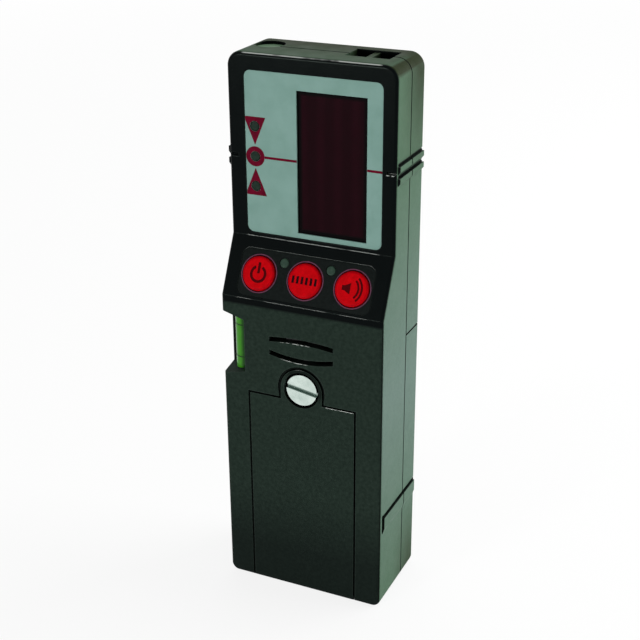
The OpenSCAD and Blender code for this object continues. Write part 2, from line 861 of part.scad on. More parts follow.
module rear_shell() color(case_colour) difference() {
    union() {
        difference() {
            translate([0, part_y, 0]) mirror([0, 1, 0]) rotate([90, 0, 0])
                soft_slab(case_w, 0, case_h, low_corner_r, top_corner_r, rear_d, rear_edge_r);
            plate_y(part_y - past, back_y - wall - back_step) case_outline(wall);
        }
        side_ribs(part_y, back_y - rear_edge_r);
        side_grips(part_y, back_y - rear_edge_r);
        top_pocket_walls(part_y, back_y - root, 0);
        for (side = [-1, 1], z = boss_heights) rod_y(side * boss_x, z, part_y, back_y - root, boss_r);
        rod_y(0, clamp_z, back_y - clamp_l - clamp_seat, back_y - root, clamp_r + clamp_wall);
    }
    seam();
    box([-case_w, back_y - back_step, -past], [case_w, back_y + past, back_step_z]);
    for (side = [-1, 1], z = boss_heights) {
        rod_y(side * boss_x, z, part_y - past, back_y + past, case_screw_r + bore_gap);
        rod_y(side * boss_x, z, part_y + screw_web, back_y + past, case_head_r + bore_gap);
    }
    for (z = [each rib_tops, grip_z]) side_groove(part_y - past, back_y + past, z, z + groove_w);
    side_groove(part_y - past, back_y + past, back_cut_z, back_cut_z + back_cut_w);
    rod_y(0, clamp_z, back_y - clamp_l, back_y + past, clamp_r + fixed_fit);
    magnet_pocket();
    strap_pocket();
}

// Screws from the back that close the case
module case_screws() color(metal_colour) for (side = [-1, 1], z = boss_heights)
    translate([side * boss_x, part_y + screw_web, z]) rotate([-90, 0, 0])
        pan_screw(case_screw_r, screw_web + case_screw_bite, case_head_r, case_head_h);

module face_label() color([0.6, 0.72, 0.68]) difference() {
    plate_y(head_y + label_sink - label_t, head_y + label_sink)
        translate([label_x, label_z + label_h / 2]) round_rect(label_w, label_h, label_r);
    plate_y(head_y - past, head_y + label_sink + past) window_opening();
    for (i = [-1:1])
        rod_y(lamp_x, grade_z + i * lamp_pitch, head_y - past, head_y + label_sink + past,
            lamp_r + trim_gap);
}

// Red filter with a flange behind the face
module sensor_window() color([0.35, 0.02, 0.04]) difference() {
    translate([window_x, 0, window_mid_z]) {
        plate_y(head_y + window_sink, flange_y) square([window_w, window_h], center = true);
        plate_y(flange_y, flange_y + window_flange_t)
            square([window_w + 2 * window_flange, window_h + 2 * window_flange], center = true);
    }
    post_room();
}

// Dark frame that keeps stray light off the sensors
module sensor_baffle() color([0.05, 0.05, 0.05]) difference() {
    translate([window_x, 0, window_mid_z]) plate_y(flange_y + window_flange_t, board_y) difference() {
        square([window_w + 2 * baffle_wall, window_h + 2 * baffle_wall], center = true);
        for (side = [-1, 1]) translate([side * diode_x, 0])
            square([(window_w - baffle_web) / 2, window_h], center = true);
    }
    post_room();
    top_pocket_walls(front_y, back_y, clear);
}

module photodiodes() color([0.15, 0.1, 0.18]) for (side = [-1, 1], row = [0:diode_rows - 1]) {
    z = window_mid_z + (row - (diode_rows - 1) / 2) * diode_pitch;
    plate_y(board_y - diode_t, board_y) translate([window_x + side * diode_x, z])
        square([diode_w, diode_h], center = true);
}

// Flat-topped lamp with its rim and two leads: reach is the way from its top to the board
module lamp(reach) {
    translate([0, 0, -lamp_l]) rotate_extrude() soft_end(lamp_r, lamp_l, lamp_edge_r);
    translate([0, 0, -lamp_l]) cylinder(h = lamp_rim_t, r = lamp_r + lamp_rim);
    for (side = [-1, 1]) translate([side * lead_pitch / 2, 0, -reach])
        cylinder(h = reach - lamp_l + lamp_rim_t / 2, r = lead_r);
}

module face_lamp(i) color([0.25, 0.28, 0.27])
    translate([lamp_x, head_y + label_sink - label_t, grade_z + i * lamp_pitch]) rotate([90, 0, 0])
        lamp(board_y - head_y - label_sink + label_t);

module upper_lamp() face_lamp(1);
module grade_lamp() face_lamp(0);
module lower_lamp() face_lamp(-1);

module status_lamp(side) color([0.3, 0.4, 0.35])
    on_slope() translate([side * key_pitch / 2, status_y, 0]) lamp(-key_board_top);

module left_status_lamp() status_lamp(-1);
module right_status_lamp() status_lamp(1);

module key_panel() color([0.1, 0.14, 0.12]) on_slope() difference() {
    translate([0, 0, -panel_sink]) linear_extrude(panel_t) panel_outline(0);
    key_openings(-panel_sink - past);
}

// Key cap with a soft top edge, a flange that keeps it in the case and a stem
module key(i) color(red_colour) on_slope() translate([i * key_pitch, -key_drop, 0]) {
    translate([0, 0, key_flange_top]) rotate_extrude()
        soft_end(key_r, key_out - key_flange_top, key_edge_r);
    translate([0, 0, key_flange_top - key_flange_t]) cylinder(h = key_flange_t, r = key_flange_r);
    translate([0, 0, plunger_top]) cylinder(h = key_flange_top - plunger_top, r = stem_r);
}

module power_key() key(-1);
module mode_key() key(0);
module sound_key() key(1);

// Pin of a key switch that the key's stem presses
module plunger(i) color([0.9, 0.88, 0.8]) on_slope()
    translate([i * key_pitch, -key_drop, plunger_top - plunger_l]) cylinder(h = plunger_l, r = plunger_r);

module power_plunger() plunger(-1);
module mode_plunger() plunger(0);
module sound_plunger() plunger(1);

module key_switches() color(black_colour) on_slope() for (i = [-1:1])
    translate([i * key_pitch, -key_drop, key_board_top]) difference() {
        bore_l = plunger_l - plunger_out + key_travel + switch_spare;
        translate([-switch_w / 2, -switch_w / 2, 0]) cube([switch_w, switch_w, switch_h]);
        translate([0, 0, switch_h - bore_l]) cylinder(h = bore_l + past, r = plunger_r + run_fit);
    }

module key_board() color(board_colour) on_slope() difference() {
    translate([-key_board_w / 2, key_board_low, key_board_top - board_t])
        cube([key_board_w, key_board_high - key_board_low, board_t]);
    for (side = [-1, 1]) translate([side * key_pitch / 2, key_post_y, key_board_top - board_t - past])
        cylinder(h = board_t + 2 * past, r = key_screw_r + bore_gap);
}

module key_board_screws() color(metal_colour) on_slope() for (side = [-1, 1])
    translate([side * key_pitch / 2, key_post_y, key_board_top - board_t]) rotate([180, 0, 0])
        pan_screw(key_screw_r, board_t + key_screw_bite, key_head_r, key_head_h);

// Flat cable from the back of the key board to the front of the main board
module key_flex() color([0.75, 0.5, 0.2]) {
    up = [sin(slope_tilt), cos(slope_tilt)];
    inward = [cos(slope_tilt), -sin(slope_tilt)];
    start = [slope_mid_y, slope_mid_z] + inward * (board_t - key_board_top);
    back = start + inward * flex_t;
    inner = start + up * ((board_y - flex_t - start[0]) / up[0]);
    outer = back + up * ((board_y - back[0]) / up[0]);
    bar_x(0, flex_w) polygon([start + up * flex_start, back + up * flex_start, outer,
        [board_y, inner[1] + flex_land], [board_y - flex_t, inner[1] + flex_land], inner]);
}

module main_board() color(board_colour) difference() {
    box([-board_w / 2, board_y, board_low_z], [board_w / 2, board_y + board_t, board_high_z]);
    for (side = [-1, 1], z = boss_heights)
        rod_y(side * boss_x, z, board_y - past, board_y + board_t + past, boss_r + clear);
    for (post = board_posts)
        rod_y(post[0], post[1], board_y - past, board_y + board_t + past, board_screw_r + bore_gap);
}

module board_screws() color(metal_colour) for (post = board_posts)
    translate([post[0], board_y + board_t, post[1]]) rotate([-90, 0, 0])
        pan_screw(board_screw_r, board_t + board_screw_bite, board_head_r, board_head_h);

module controller_chip() color(black_colour)
    box([-chip_w / 2, board_y + board_t, chip_z],
        [chip_w / 2, board_y + board_t + chip_t, chip_z + chip_w]);

// Sounder can with its sound hole and two pins to the main board
module buzzer() color(black_colour) {
    can_y = seat_y + buzzer_gap;
    difference() {
        rod_y(0, buzzer_z, can_y, can_y + buzzer_h, buzzer_r);
        rod_y(0, buzzer_z, can_y - past, can_y + buzzer_hole_l, buzzer_hole_r);
    }
    for (side = [-1, 1])
        rod_y(side * buzzer_pin_x, buzzer_z, can_y + buzzer_h - root, board_y, buzzer_pin_r);
}

module vial_tube() color([0.75, 0.95, 0.7, 0.5]) translate([vial_x, vial_y, vial_low_z]) difference() {
    cylinder(h = vial_l, r = vial_r);
    translate([0, 0, vial_wall]) cylinder(h = vial_l, r = vial_core_r);
}

// Liquid with the bubble at its upper end
module vial_liquid() color([0.3, 0.75, 0.1, 0.6])
    translate([vial_x, vial_y, vial_low_z + vial_wall]) difference() {
        liquid_h = vial_l - vial_wall - vial_plug_l;
        cylinder(h = liquid_h, r = vial_core_r - fixed_fit);
        translate([0, 0, liquid_h - bubble_drop]) sphere(bubble_r);
    }

module vial_plug() color([0.2, 0.5, 0.15])
    translate([vial_x, vial_y, vial_low_z + vial_l - vial_plug_l])
        cylinder(h = vial_plug_l, r = vial_core_r - fixed_fit);

module top_magnet() color([0.2, 0.2, 0.21])
    translate([magnet_x, magnet_y, case_h - magnet_sink - magnet_t]) cylinder(h = magnet_t, r = magnet_r);

module battery() color([0.25, 0.27, 0.3])
    translate([0, terminal_y, battery_low_z])
        linear_extrude(battery_h) round_rect(battery_w, battery_d, battery_r);

// Snap stud and snap socket on top of the block
module battery_terminals() color(metal_colour) {
    translate([-terminal_pitch / 2, terminal_y, terminal_z]) cylinder(h = terminal_h, r = stud_r);
    translate([terminal_pitch / 2, terminal_y, terminal_z]) difference() {
        cylinder(h = terminal_h, r = socket_r, $fn = 6);
        translate([0, 0, socket_floor]) cylinder(h = terminal_h, r = stud_r);
    }
}

// Spring strips from the terminals to the main board
module battery_contacts() color(brass_colour) for (side = [-1, 1])
    bar_x(side * terminal_pitch / 2, contact_w) {
        low = terminal_z + terminal_h;
        translate([board_y - contact_t, contact_arm_z]) square([contact_t, contact_end_z - contact_arm_z]);
        translate([contact_toe_y, contact_arm_z]) square([board_y - contact_toe_y, contact_t]);
        translate([contact_toe_y, low]) square([contact_t, contact_arm_z - low + contact_t]);
        translate([contact_toe_y, low]) square([contact_foot, contact_t]);
    }

module door_seal() color(black_colour) plate_y(seat_y, seat_y + seal_t) seal_outline(seal_w);

// Frame on the inside of the door that stiffens it
module door_frame() {
    across = bay_w - 2 * frame_gap;
    along = bay_high_z - battery_low_z - 2 * frame_gap;
    plate_y(front_y + root, front_y + door_t + frame_h)
        translate([0, (battery_low_z + bay_high_z) / 2]) difference() {
            square([across, along], center = true);
            square([across - 2 * frame_w, along - 2 * frame_w], center = true);
        }
}

// Hooks at the foot of the door that grip behind the ledge
module door_hooks() {
    for (side = [-1, 1]) bar_x(side * tongue_x, tongue_w) {
        translate([front_y + root, tongue_z]) square([hook_y + hook_t - front_y - root, tongue_t]);
        translate([hook_y, hook_z]) square([hook_t, tongue_z + tongue_t - hook_z]);
    }
}

module battery_door() color(case_colour) difference() {
    union() {
        plate_y(front_y, front_y + door_t) door_outline(0, hinge_z);
        translate([-door_w / 2, hinge_y, hinge_z]) rotate([0, 90, 0]) cylinder(h = door_w, r = door_t / 2);
        rod_y(0, door_screw_z, front_y + door_t - root, cup_end_y, tab_r);
        door_frame();
        door_hooks();
    }
    rod_y(0, door_screw_z, front_y - past, cup_floor_y, tab_r - cup_wall);
    rod_y(0, door_screw_z, front_y, cup_end_y + past, screw_hole_r);
}

// Foam on the door that keeps the battery from rattling
module battery_pad() color([0.2, 0.2, 0.22])
    box([-pad_w / 2, front_y + door_t, battery_low_z + pad_inset],
        [pad_w / 2, battery_front_y - pad_gap, terminal_z - pad_inset]);

// Coin-slot screw with a groove for its clip
module door_screw() color(metal_colour) difference() {
    union() {
        rod_y(0, door_screw_z, screw_head_y, cup_floor_y, screw_head_d / 2);
        rod_y(0, door_screw_z, cup_floor_y - root, well_y + screw_lift, screw_r);
    }
    translate([0, screw_head_y, door_screw_z]) rotate([0, -slot_turn, 0])
        cube([screw_head_d + past, 2 * screw_slot_d, screw_slot_w], center = true);
    difference() {
        rod_y(0, door_screw_z, clip_y - clip_play, clip_y + clip_t + clip_play, screw_r + past);
        rod_y(0, door_screw_z, clip_y - past, clip_y + clip_t + past, clip_groove_r);
    }
}

// Open ring in the screw's groove that keeps the screw on the door
module screw_clip() color([0.3, 0.3, 0.32]) difference() {
    rod_y(0, door_screw_z, clip_y, clip_y + clip_t, clip_r);
    rod_y(0, door_screw_z, clip_y - past, clip_y + clip_t + past, clip_groove_r + run_fit);
    box([-clip_mouth / 2, clip_y - past, door_screw_z - clip_r - past],
        [clip_mouth / 2, clip_y + clip_t + past, door_screw_z]);
}

module screw_insert() color(brass_colour) difference() {
    rod_y(0, door_screw_z, well_y, well_y + insert_l, insert_r);
    rod_y(0, door_screw_z, well_y - past, well_y + insert_l + past, insert_bore_r);
}

module clamp_insert() color(brass_colour) difference() {
    rod_y(0, clamp_z, back_y - clamp_l, back_y, clamp_r);
    rod_y(0, clamp_z, back_y - clamp_l + clamp_floor, back_y + past, clamp_core_d / 2);
}

front_shell();
rear_shell();
case_screws();
face_label();
sensor_window();
sensor_baffle();
photodiodes();
upper_lamp();
grade_lamp();
lower_lamp();
key_panel();
power_key();
mode_key();
sound_key();
power_plunger();
mode_plunger();
sound_plunger();
key_switches();
left_status_lamp();
right_status_lamp();
key_board();
key_board_screws();
key_flex();
main_board();
board_screws();
controller_chip();
buzzer();
vial_tube();
vial_liquid();
vial_plug();
top_magnet();
battery();
battery_terminals();
battery_contacts();
door_seal();
battery_door();
battery_pad();
door_screw();
screw_clip();
screw_insert();
clamp_insert();
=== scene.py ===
import json
import math

import bmesh
import bpy
from mathutils import Matrix, Vector


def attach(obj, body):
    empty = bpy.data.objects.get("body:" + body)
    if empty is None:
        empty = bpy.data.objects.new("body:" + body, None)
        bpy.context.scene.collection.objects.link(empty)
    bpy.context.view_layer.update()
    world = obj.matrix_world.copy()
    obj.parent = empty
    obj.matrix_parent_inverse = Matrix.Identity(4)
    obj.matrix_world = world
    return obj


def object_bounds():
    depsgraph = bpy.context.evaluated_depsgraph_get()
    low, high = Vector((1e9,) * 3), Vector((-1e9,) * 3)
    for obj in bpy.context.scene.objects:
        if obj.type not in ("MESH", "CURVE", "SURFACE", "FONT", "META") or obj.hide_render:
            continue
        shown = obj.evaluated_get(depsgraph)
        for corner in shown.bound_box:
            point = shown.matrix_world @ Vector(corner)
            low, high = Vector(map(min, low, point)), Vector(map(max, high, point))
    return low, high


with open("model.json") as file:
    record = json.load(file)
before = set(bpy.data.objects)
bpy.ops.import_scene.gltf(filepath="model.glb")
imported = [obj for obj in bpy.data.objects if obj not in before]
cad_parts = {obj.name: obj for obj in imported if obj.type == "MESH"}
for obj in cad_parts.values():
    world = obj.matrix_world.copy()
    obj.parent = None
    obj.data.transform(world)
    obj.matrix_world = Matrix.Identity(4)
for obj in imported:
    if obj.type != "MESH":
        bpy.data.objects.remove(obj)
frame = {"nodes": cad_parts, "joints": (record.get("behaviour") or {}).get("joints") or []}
cad_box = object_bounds()


# Case: a front and a rear shell, moulded in black plastic with a fine sparked grain, smoother
# on the head's face and on the slope. Six screws from the back draw them together at the seam.
MM = 0.001
nodes = frame["nodes"]
# Painted light: the sides and top are painted paler than the front, palest at mid height where a painted
# highlight falls
SIDE_END = (0.055, 0.107, 0.065, 1)
SIDE_MIDDLE = (0.101, 0.152, 0.129, 1)
SIDE_MIDDLE_AT = 0.42
SIDE_TOP_AT = 0.85
# Painted shade: the sides and top go dark and olive towards the back at both ends, over the top and on the
# shoulders
SIDE_SHADE = (0.009, 0.015, 0.002, 1)
SHADE_FRONT = -4 * MM
SHADE_BACK = 9 * MM
SHADE_LEAST = 0.05
UPPER_SHADE = 130 * MM
UPPER_DEPTH = 0.96
LOWER_SHADE = 26 * MM
LOWER_DEPTH = 0.8
TOP_DEPTHS = (0.45, 0.9)
# Painted shade: the front goes darker towards the bottom
FOOT_DARK = 13 * MM
FOOT_FROM = 34 * MM
FOOT_DEPTH = 0.62
FRONT_LOW = (0.0100, 0.0182, 0.0136, 1)
FRONT_HIGH = (0.0172, 0.0288, 0.0220, 1)
CASE_FACE = (0.0012, 0.0018, 0.0023, 1)
CASE_RUBBED = (0.085, 0.115, 0.098, 1)
CASE_GLINT = (0.72, 0.76, 0.72, 1)
# Colour of the painted shade in gaps, grooves and recesses
CREVICE = (0.0008, 0.0010, 0.0010, 1)
CASE_TINT = (0.80, 1.0, 0.88, 1)
CASE_REFLECTION = 0.04
CASE_CLOUD = 1.1 * MM
CASE_GRAIN = 0.36 * MM
CASE_GRAIN_DEPTH = 0.05 * MM
GRAIN_DARK = 0.12
SMOOTH_GRAIN = 0.35
CASE_ROUGH = (0.44, 0.54)
SMOOTH_ROUGH = 0.5
ROUGH_SIZE = 4 * MM
WEAR_SIZE = 2.5 * MM
EDGE_WEAR = (0.35, 0.12)
CASE_EDGE = 0.32 * MM
GLINT_HALF = 21 * MM
CREASE_TOP = 112.4 * MM
# Centres round which short painted highlights are put on the upper front edges
HIGHLIGHT_SPOTS = [Vector(place) * MM for place in ((12, -14.5, 65), (-1.5, -14.5, 81), (20.5, -6.5, 135.7))]
HIGHLIGHT_SPOT_REACH = 6 * MM
GROOVE_REACH = 1.3 * MM
POCKET_REACH = 8 * MM
TOP_FROM = 160 * MM
SUNK = 0.3 * MM
SMOOTH_FROM = 93.0 * MM
SMOOTH_FULL = 93.8 * MM
TAB_R = 6.7 * MM
TAB_FADE = 0.3 * MM
TAB_SHADE_SIDE = (0.55, 0, 0.83)
TAB_SHADE_FULL = 2.5 * MM
TAB_DEPTH = 0.7
RIM_GLINT = 0.6
LIP_GLINT = 0.25
POCKET_SHADE = 0.85
SUNK_SHADE = 0.9
CLOUD = (0.3, 0.7)
DASH_SIZE = 1.8 * MM
DASH_BREAKS = (0.42, 0.52)
LINE_SIZE = 7 * MM
LINE_BREAKS = (0.36, 0.50)
OPEN_AIR = (0.4, 0.88)
# Parts of a normal between which a face or an edge counts as turned that way
FRONTWARD = (-0.35, -0.6)
FLAT_ON = (0.35, 0.6)
LEDGE_UP = (0.5, 0.7)
TOP_UP = (0.85, 0.97)
SHOULDER_UP = (0.1, 0.4)
EDGE_UP = (0.05, 0.15)
EDGE_STEEP = (0.34, 0.42)
EDGE_FORWARD = (-0.4, -0.55)
EDGE_SIDEWAYS = (0.1, 0.25)
RIM_UP = (0.58, 0.66)
RIM_OVER = (0.82, 0.90)
RIM_FORWARD = (-0.35, -0.5)
X = Vector((1, 0, 0))
Y = Vector((0, 1, 0))
Z = Vector((0, 0, 1))


def new_finish(name):
    """A new finish with its node tree and its shader."""
    made = bpy.data.materials.new(name)
    made.use_nodes = True
    return made, made.node_tree, made.node_tree.nodes["Principled BSDF"]


def add(tree, kind, sockets, **settings):
    """Add a node: each socket takes a plain value or another node's output."""
    node = tree.nodes.new("ShaderNode" + kind)
    for name, value in settings.items():
        setattr(node, name, value)
    feed(tree, node, sockets)
    return node


def feed(tree, node, sockets):
    """Fill a node's sockets with plain values or with other nodes' outputs."""
    for name, value in sockets.items():
        if isinstance(value, bpy.types.NodeSocket):
            tree.links.new(value, node.inputs[name])
        else:
            node.inputs[name].default_value = value


def ramp(tree, factor, *stops):
    """Colours along a factor, each stop a place and a colour."""
    node = add(tree, "ValToRGB", {"Fac": factor})
    stripe = node.color_ramp.elements
    while len(stripe) < len(stops):
        stripe.new(0.5)
    for element, (place, colour) in zip(stripe, stops):
        element.position = place
        element.color = colour
    return node.outputs["Color"]


def level(tree, value, low, high, to_low, to_high):
    """A value carried from one span to another, held at both ends."""
    return add(tree, "MapRange", {"Value": value, "From Min": low, "From Max": high,
                                  "To Min": to_low, "To Max": to_high}).outputs["Result"]


def spot(tree):
    """Where a point lies on the piece."""
    return add(tree, "TexCoord", {}).outputs["Object"]


def mottle(tree, size, detail=3.0):
    """Soft clouds of a size, from 0 to 1."""
    clouds = add(tree, "TexNoise", {"Vector": spot(tree), "Scale": 1 / size, "Detail": detail})
    return clouds.outputs["Fac"]


def clouded(tree, size, low, high):
    """A value that drifts between two in clouds of a size."""
    return level(tree, mottle(tree, size), *CLOUD, low, high)


def tinted(tree, size, low, high):
    """A colour that drifts between two in clouds of a size."""
    return ramp(tree, mottle(tree, size), (CLOUD[0], low), (CLOUD[1], high))


def reckon(tree, operation, *values):
    """One step of arithmetic."""
    return add(tree, "Math", dict(enumerate(values)), operation=operation).outputs["Value"]


def vector(tree, operation, *vectors):
    """One step with places or directions."""
    return add(tree, "VectorMath", dict(enumerate(vectors)), operation=operation).outputs


def rounded_edge(tree, radius, flat_until=0.996, full_from=0.984):
    """Normal of a surface with its edges rounded so far, and 0 on flats to 1 on those edges."""
    rounded = add(tree, "Bevel", {"Radius": radius}, samples=8).outputs["Normal"]
    flat = add(tree, "NewGeometry", {}).outputs["Normal"]
    along = vector(tree, "DOT_PRODUCT", rounded, flat)["Value"]
    return rounded, level(tree, along, flat_until, full_from, 0.0, 1.0)


def crevice(tree, reach, same_piece=False):
    """1 deep in gaps and grooves, 0 on open faces."""
    open_air = add(tree, "AmbientOcclusion", {"Distance": reach}, samples=8, only_local=same_piece)
    return level(tree, open_air.outputs["AO"], *OPEN_AIR, 1.0, 0.0)


def bump(tree, height, depth, **below):
    """Relief so deep, from a height between 0 and 1, on the normal below it if one is given."""
    return add(tree, "Bump", {"Height": height, "Distance": depth, **below}).outputs["Normal"]


def blend_colour(tree, factor, first, second):
    """One colour giving way to another."""
    node = add(tree, "Mix", {"Factor": factor}, data_type="RGBA")
    feed(tree, node, {6: first, 7: second})
    return node.outputs[2]


def times(tree, *values):
    """Values multiplied."""
    product = values[0]
    for value in values[1:]:
        product = reckon(tree, "MULTIPLY", product, value)
    return product


def greater(tree, first, second):
    """The greater of two values."""
    return reckon(tree, "MAXIMUM", first, second)


def size_of(tree, value):
    """A value without its sign."""
    return reckon(tree, "ABSOLUTE", value)


def parts_of(tree, whole):
    """The three parts of a place or a direction."""
    return add(tree, "SeparateXYZ", {"Vector": whole}).outputs


def span(name, direction):
    """Lowest and highest reach of a CAD node along a direction."""
    reach = [corner.co.dot(direction) for corner in nodes[name].data.vertices]
    return min(reach), max(reach)


def middle(name, direction):
    """Middle of a CAD node along a direction."""
    return sum(span(name, direction)) / 2


def painted_edge_highlights(tree, place, facing, rounded, edge):
    """1 on edges given painted highlights: broken lines at the slope and the head's upper rim, fainter at
    the key panel's lip, and dashes round three given spots."""
    turned = parts_of(tree, rounded)
    upper = times(tree, edge, level(tree, turned["Z"], *EDGE_UP, 0.0, 1.0),
                  level(tree, turned["Y"], *EDGE_FORWARD, 0.0, 1.0),
                  level(tree, size_of(tree, turned["X"]), *EDGE_SIDEWAYS, 1.0, 0.0))
    near_highlight_spot = 0.0
    for highlight_spot in HIGHLIGHT_SPOTS:
        far = vector(tree, "DISTANCE", spot(tree), highlight_spot)["Value"]
        near_highlight_spot = greater(tree, near_highlight_spot, level(tree, far, 0.6 * HIGHLIGHT_SPOT_REACH, HIGHLIGHT_SPOT_REACH, 1.0, 0.0))
    dashes = times(tree, upper, near_highlight_spot, level(tree, mottle(tree, DASH_SIZE), *DASH_BREAKS, 0.0, 1.0))
    panel_top = span("key_panel", Z)[1]
    below_lip = level(tree, place["Z"], SMOOTH_FULL + MM, SMOOTH_FULL + 2 * MM, 1.0, LIP_GLINT)
    above_lip = level(tree, place["Z"], panel_top + 0.8 * MM, panel_top + 1.2 * MM, LIP_GLINT, 1.0)
    crease = times(tree, upper, level(tree, turned["Z"], *EDGE_STEEP, 1.0, 0.0),
                   level(tree, place["Z"], SMOOTH_FROM, SMOOTH_FULL, 0.0, 1.0),
                   level(tree, place["Z"], CREASE_TOP, CREASE_TOP + 0.2 * MM, 1.0, 0.0),
                   greater(tree, below_lip, above_lip))
    rim = times(tree, level(tree, facing["Z"], *RIM_UP, 0.0, 1.0),
                level(tree, facing["Z"], *RIM_OVER, 1.0, 0.0),
                level(tree, facing["Y"], *RIM_FORWARD, 0.0, RIM_GLINT))
    lines = times(tree, greater(tree, crease, rim),
                  level(tree, mottle(tree, LINE_SIZE), *LINE_BREAKS, 0.0, 1.0),
                  level(tree, size_of(tree, place["X"]), GLINT_HALF - MM, GLINT_HALF, 1.0, 0.0))
    return greater(tree, dashes, lines)


def tab_shade(tree):
    """How dark the door's round tab is: it lies in shade above and to the right of its screw."""
    centre = Vector((middle("door_screw", X), 0, middle("door_screw", Z)))
    seen_flat = vector(tree, "MULTIPLY", spot(tree), X + Z)["Vector"]
    off = vector(tree, "SUBTRACT", seen_flat, centre)["Vector"]
    far = vector(tree, "LENGTH", off)["Value"]
    beside = vector(tree, "DOT_PRODUCT", off, TAB_SHADE_SIDE)["Value"]
    return times(tree, level(tree, far, TAB_R - TAB_FADE, TAB_R, 1.0, 0.0),
                 level(tree, beside, 0.0, TAB_SHADE_FULL, 0.0, TAB_DEPTH))


def shaded_ends(tree, place, facing):
    """How far painted shade darkens the sides and the top to olive: towards the back at both ends of the
    case, over the top, and on its rounded shoulders."""
    rearward = level(tree, place["Y"], SHADE_FRONT, SHADE_BACK, SHADE_LEAST, 1.0)
    upper = level(tree, place["Z"], UPPER_SHADE, cad_box[1][2], 0.0, UPPER_DEPTH)
    lower = level(tree, place["Z"], LOWER_SHADE, cad_box[0][2], 0.0, LOWER_DEPTH)
    flank = times(tree, rearward, greater(tree, upper, lower))
    top = times(tree, level(tree, facing["Z"], *TOP_UP, 0.0, 1.0),
                level(tree, place["Y"], SHADE_FRONT, SHADE_BACK, *TOP_DEPTHS))
    shoulder = times(tree, level(tree, facing["Z"], *SHOULDER_UP, 0.0, 1.0),
                     level(tree, facing["Z"], *TOP_UP, 1.0, 0.0))
    return greater(tree, flank, greater(tree, top, shoulder))


def moulded_case():
    """Black moulded plastic, grained on the body and smoother on the head's face and slope. Its sides are
    painted paler than the front as painted light and its ends darker as painted shade, toned as in the
    photograph, and painted shade lies in its recesses."""
    made, tree, shader = new_finish("case_plastic")
    place = parts_of(tree, spot(tree))
    facing = parts_of(tree, add(tree, "NewGeometry", {}).outputs["Normal"])
    rounded, edge = rounded_edge(tree, CASE_EDGE)
    front = level(tree, facing["Y"], *FRONTWARD, 0.0, 1.0)
    high = level(tree, place["Z"], SMOOTH_FROM, SMOOTH_FULL, 0.0, 1.0)
    smooth = times(tree, high, front)
    # Painted shade: ledges turned up on the sides, below the top, keep the dark front colour as they lie in
    # shade
    ledge = times(tree, level(tree, facing["Z"], *LEDGE_UP, 0.0, 1.0),
                  level(tree, place["Z"], TOP_FROM - MM, TOP_FROM, 1.0, 0.0))
    cloud = mottle(tree, CASE_CLOUD)
    along = level(tree, place["Z"], cad_box[0][2], cad_box[1][2], 0.0, 1.0)
    # Painted light: the sides' colour along the height, with a painted highlight at mid height
    lit_sides = ramp(tree, along, (0.0, SIDE_END), (SIDE_MIDDLE_AT, SIDE_MIDDLE), (SIDE_TOP_AT, SIDE_END))
    grained = blend_colour(tree, level(tree, cloud, *CLOUD, GRAIN_DARK, 0.0), lit_sides, FRONT_LOW)
    side = blend_colour(tree, shaded_ends(tree, place, facing), grained, SIDE_SHADE)
    # Painted shade: the front darker towards its bottom
    foot_shade = level(tree, place["Z"], FOOT_DARK, FOOT_FROM, FOOT_DEPTH, 0.0)
    grey = ramp(tree, cloud, (CLOUD[0], FRONT_LOW), (CLOUD[1], FRONT_HIGH))
    broad = blend_colour(tree, foot_shade, grey, CASE_FACE)
    front_or_back = level(tree, size_of(tree, facing["Y"]), *FLAT_ON, 0.0, 1.0)
    colour = blend_colour(tree, greater(tree, front_or_back, ledge), side, broad)
    # Partly painted shade: the head's face and slope are smoother, and their colour is painted near black,
    # standing in for the darker reflection of their gloss
    plain = blend_colour(tree, smooth, colour, CASE_FACE)
    wear = times(tree, edge, mottle(tree, WEAR_SIZE), level(tree, smooth, 0.0, 1.0, *EDGE_WEAR))
    worn = blend_colour(tree, wear, plain, CASE_RUBBED)
    # Painted highlights: glints along the upper front edges
    bright = blend_colour(tree, painted_edge_highlights(tree, place, facing, rounded, edge), worn, CASE_GLINT)
    # Painted shade on front faces sunk behind the front face, below the slope
    recess_shade = times(tree, front, level(tree, high, 0.0, 1.0, 1.0, 0.0),
                 level(tree, place["Y"], cad_box[0][1] + SUNK / 2, cad_box[0][1] + SUNK, 0.0, SUNK_SHADE))
    # Painted shade deep in pockets, gaps and grooves, found by ambient occlusion
    pocket_shade = times(tree, crevice(tree, POCKET_REACH, True), POCKET_SHADE)
    shade = greater(tree, recess_shade, times(tree, front, tab_shade(tree)))
    dark = greater(tree, shade, greater(tree, crevice(tree, GROOVE_REACH), pocket_shade))
    grain = times(tree, mottle(tree, CASE_GRAIN, 1.0), level(tree, smooth, 0.0, 1.0, 1.0, SMOOTH_GRAIN))
    rough = clouded(tree, ROUGH_SIZE, *CASE_ROUGH)
    feed(tree, shader, {
        "Base Color": blend_colour(tree, dark, bright, CREVICE),
        "Roughness": times(tree, rough, level(tree, smooth, 0.0, 1.0, 1.0, SMOOTH_ROUGH)),
        "Normal": bump(tree, grain, CASE_GRAIN_DEPTH, Normal=rounded),
        "Specular IOR Level": CASE_REFLECTION,
        "Specular Tint": CASE_TINT,
    })
    return made


def dress(made, *names):
    """Give CAD nodes a finish."""
    for name in names:
        nodes[name].data.materials.clear()
        nodes[name].data.materials.append(made)


case_plastic = moulded_case()
dress(case_plastic, "front_shell", "rear_shell")


# Case screws and the small screws inside: zinc-plated steel, rolled and cold-headed.
# The case screws sit deep in wells of the back; the others hold the boards to their posts.
STEEL_LOW = (0.42, 0.42, 0.40, 1)
STEEL_HIGH = (0.62, 0.61, 0.57, 1)


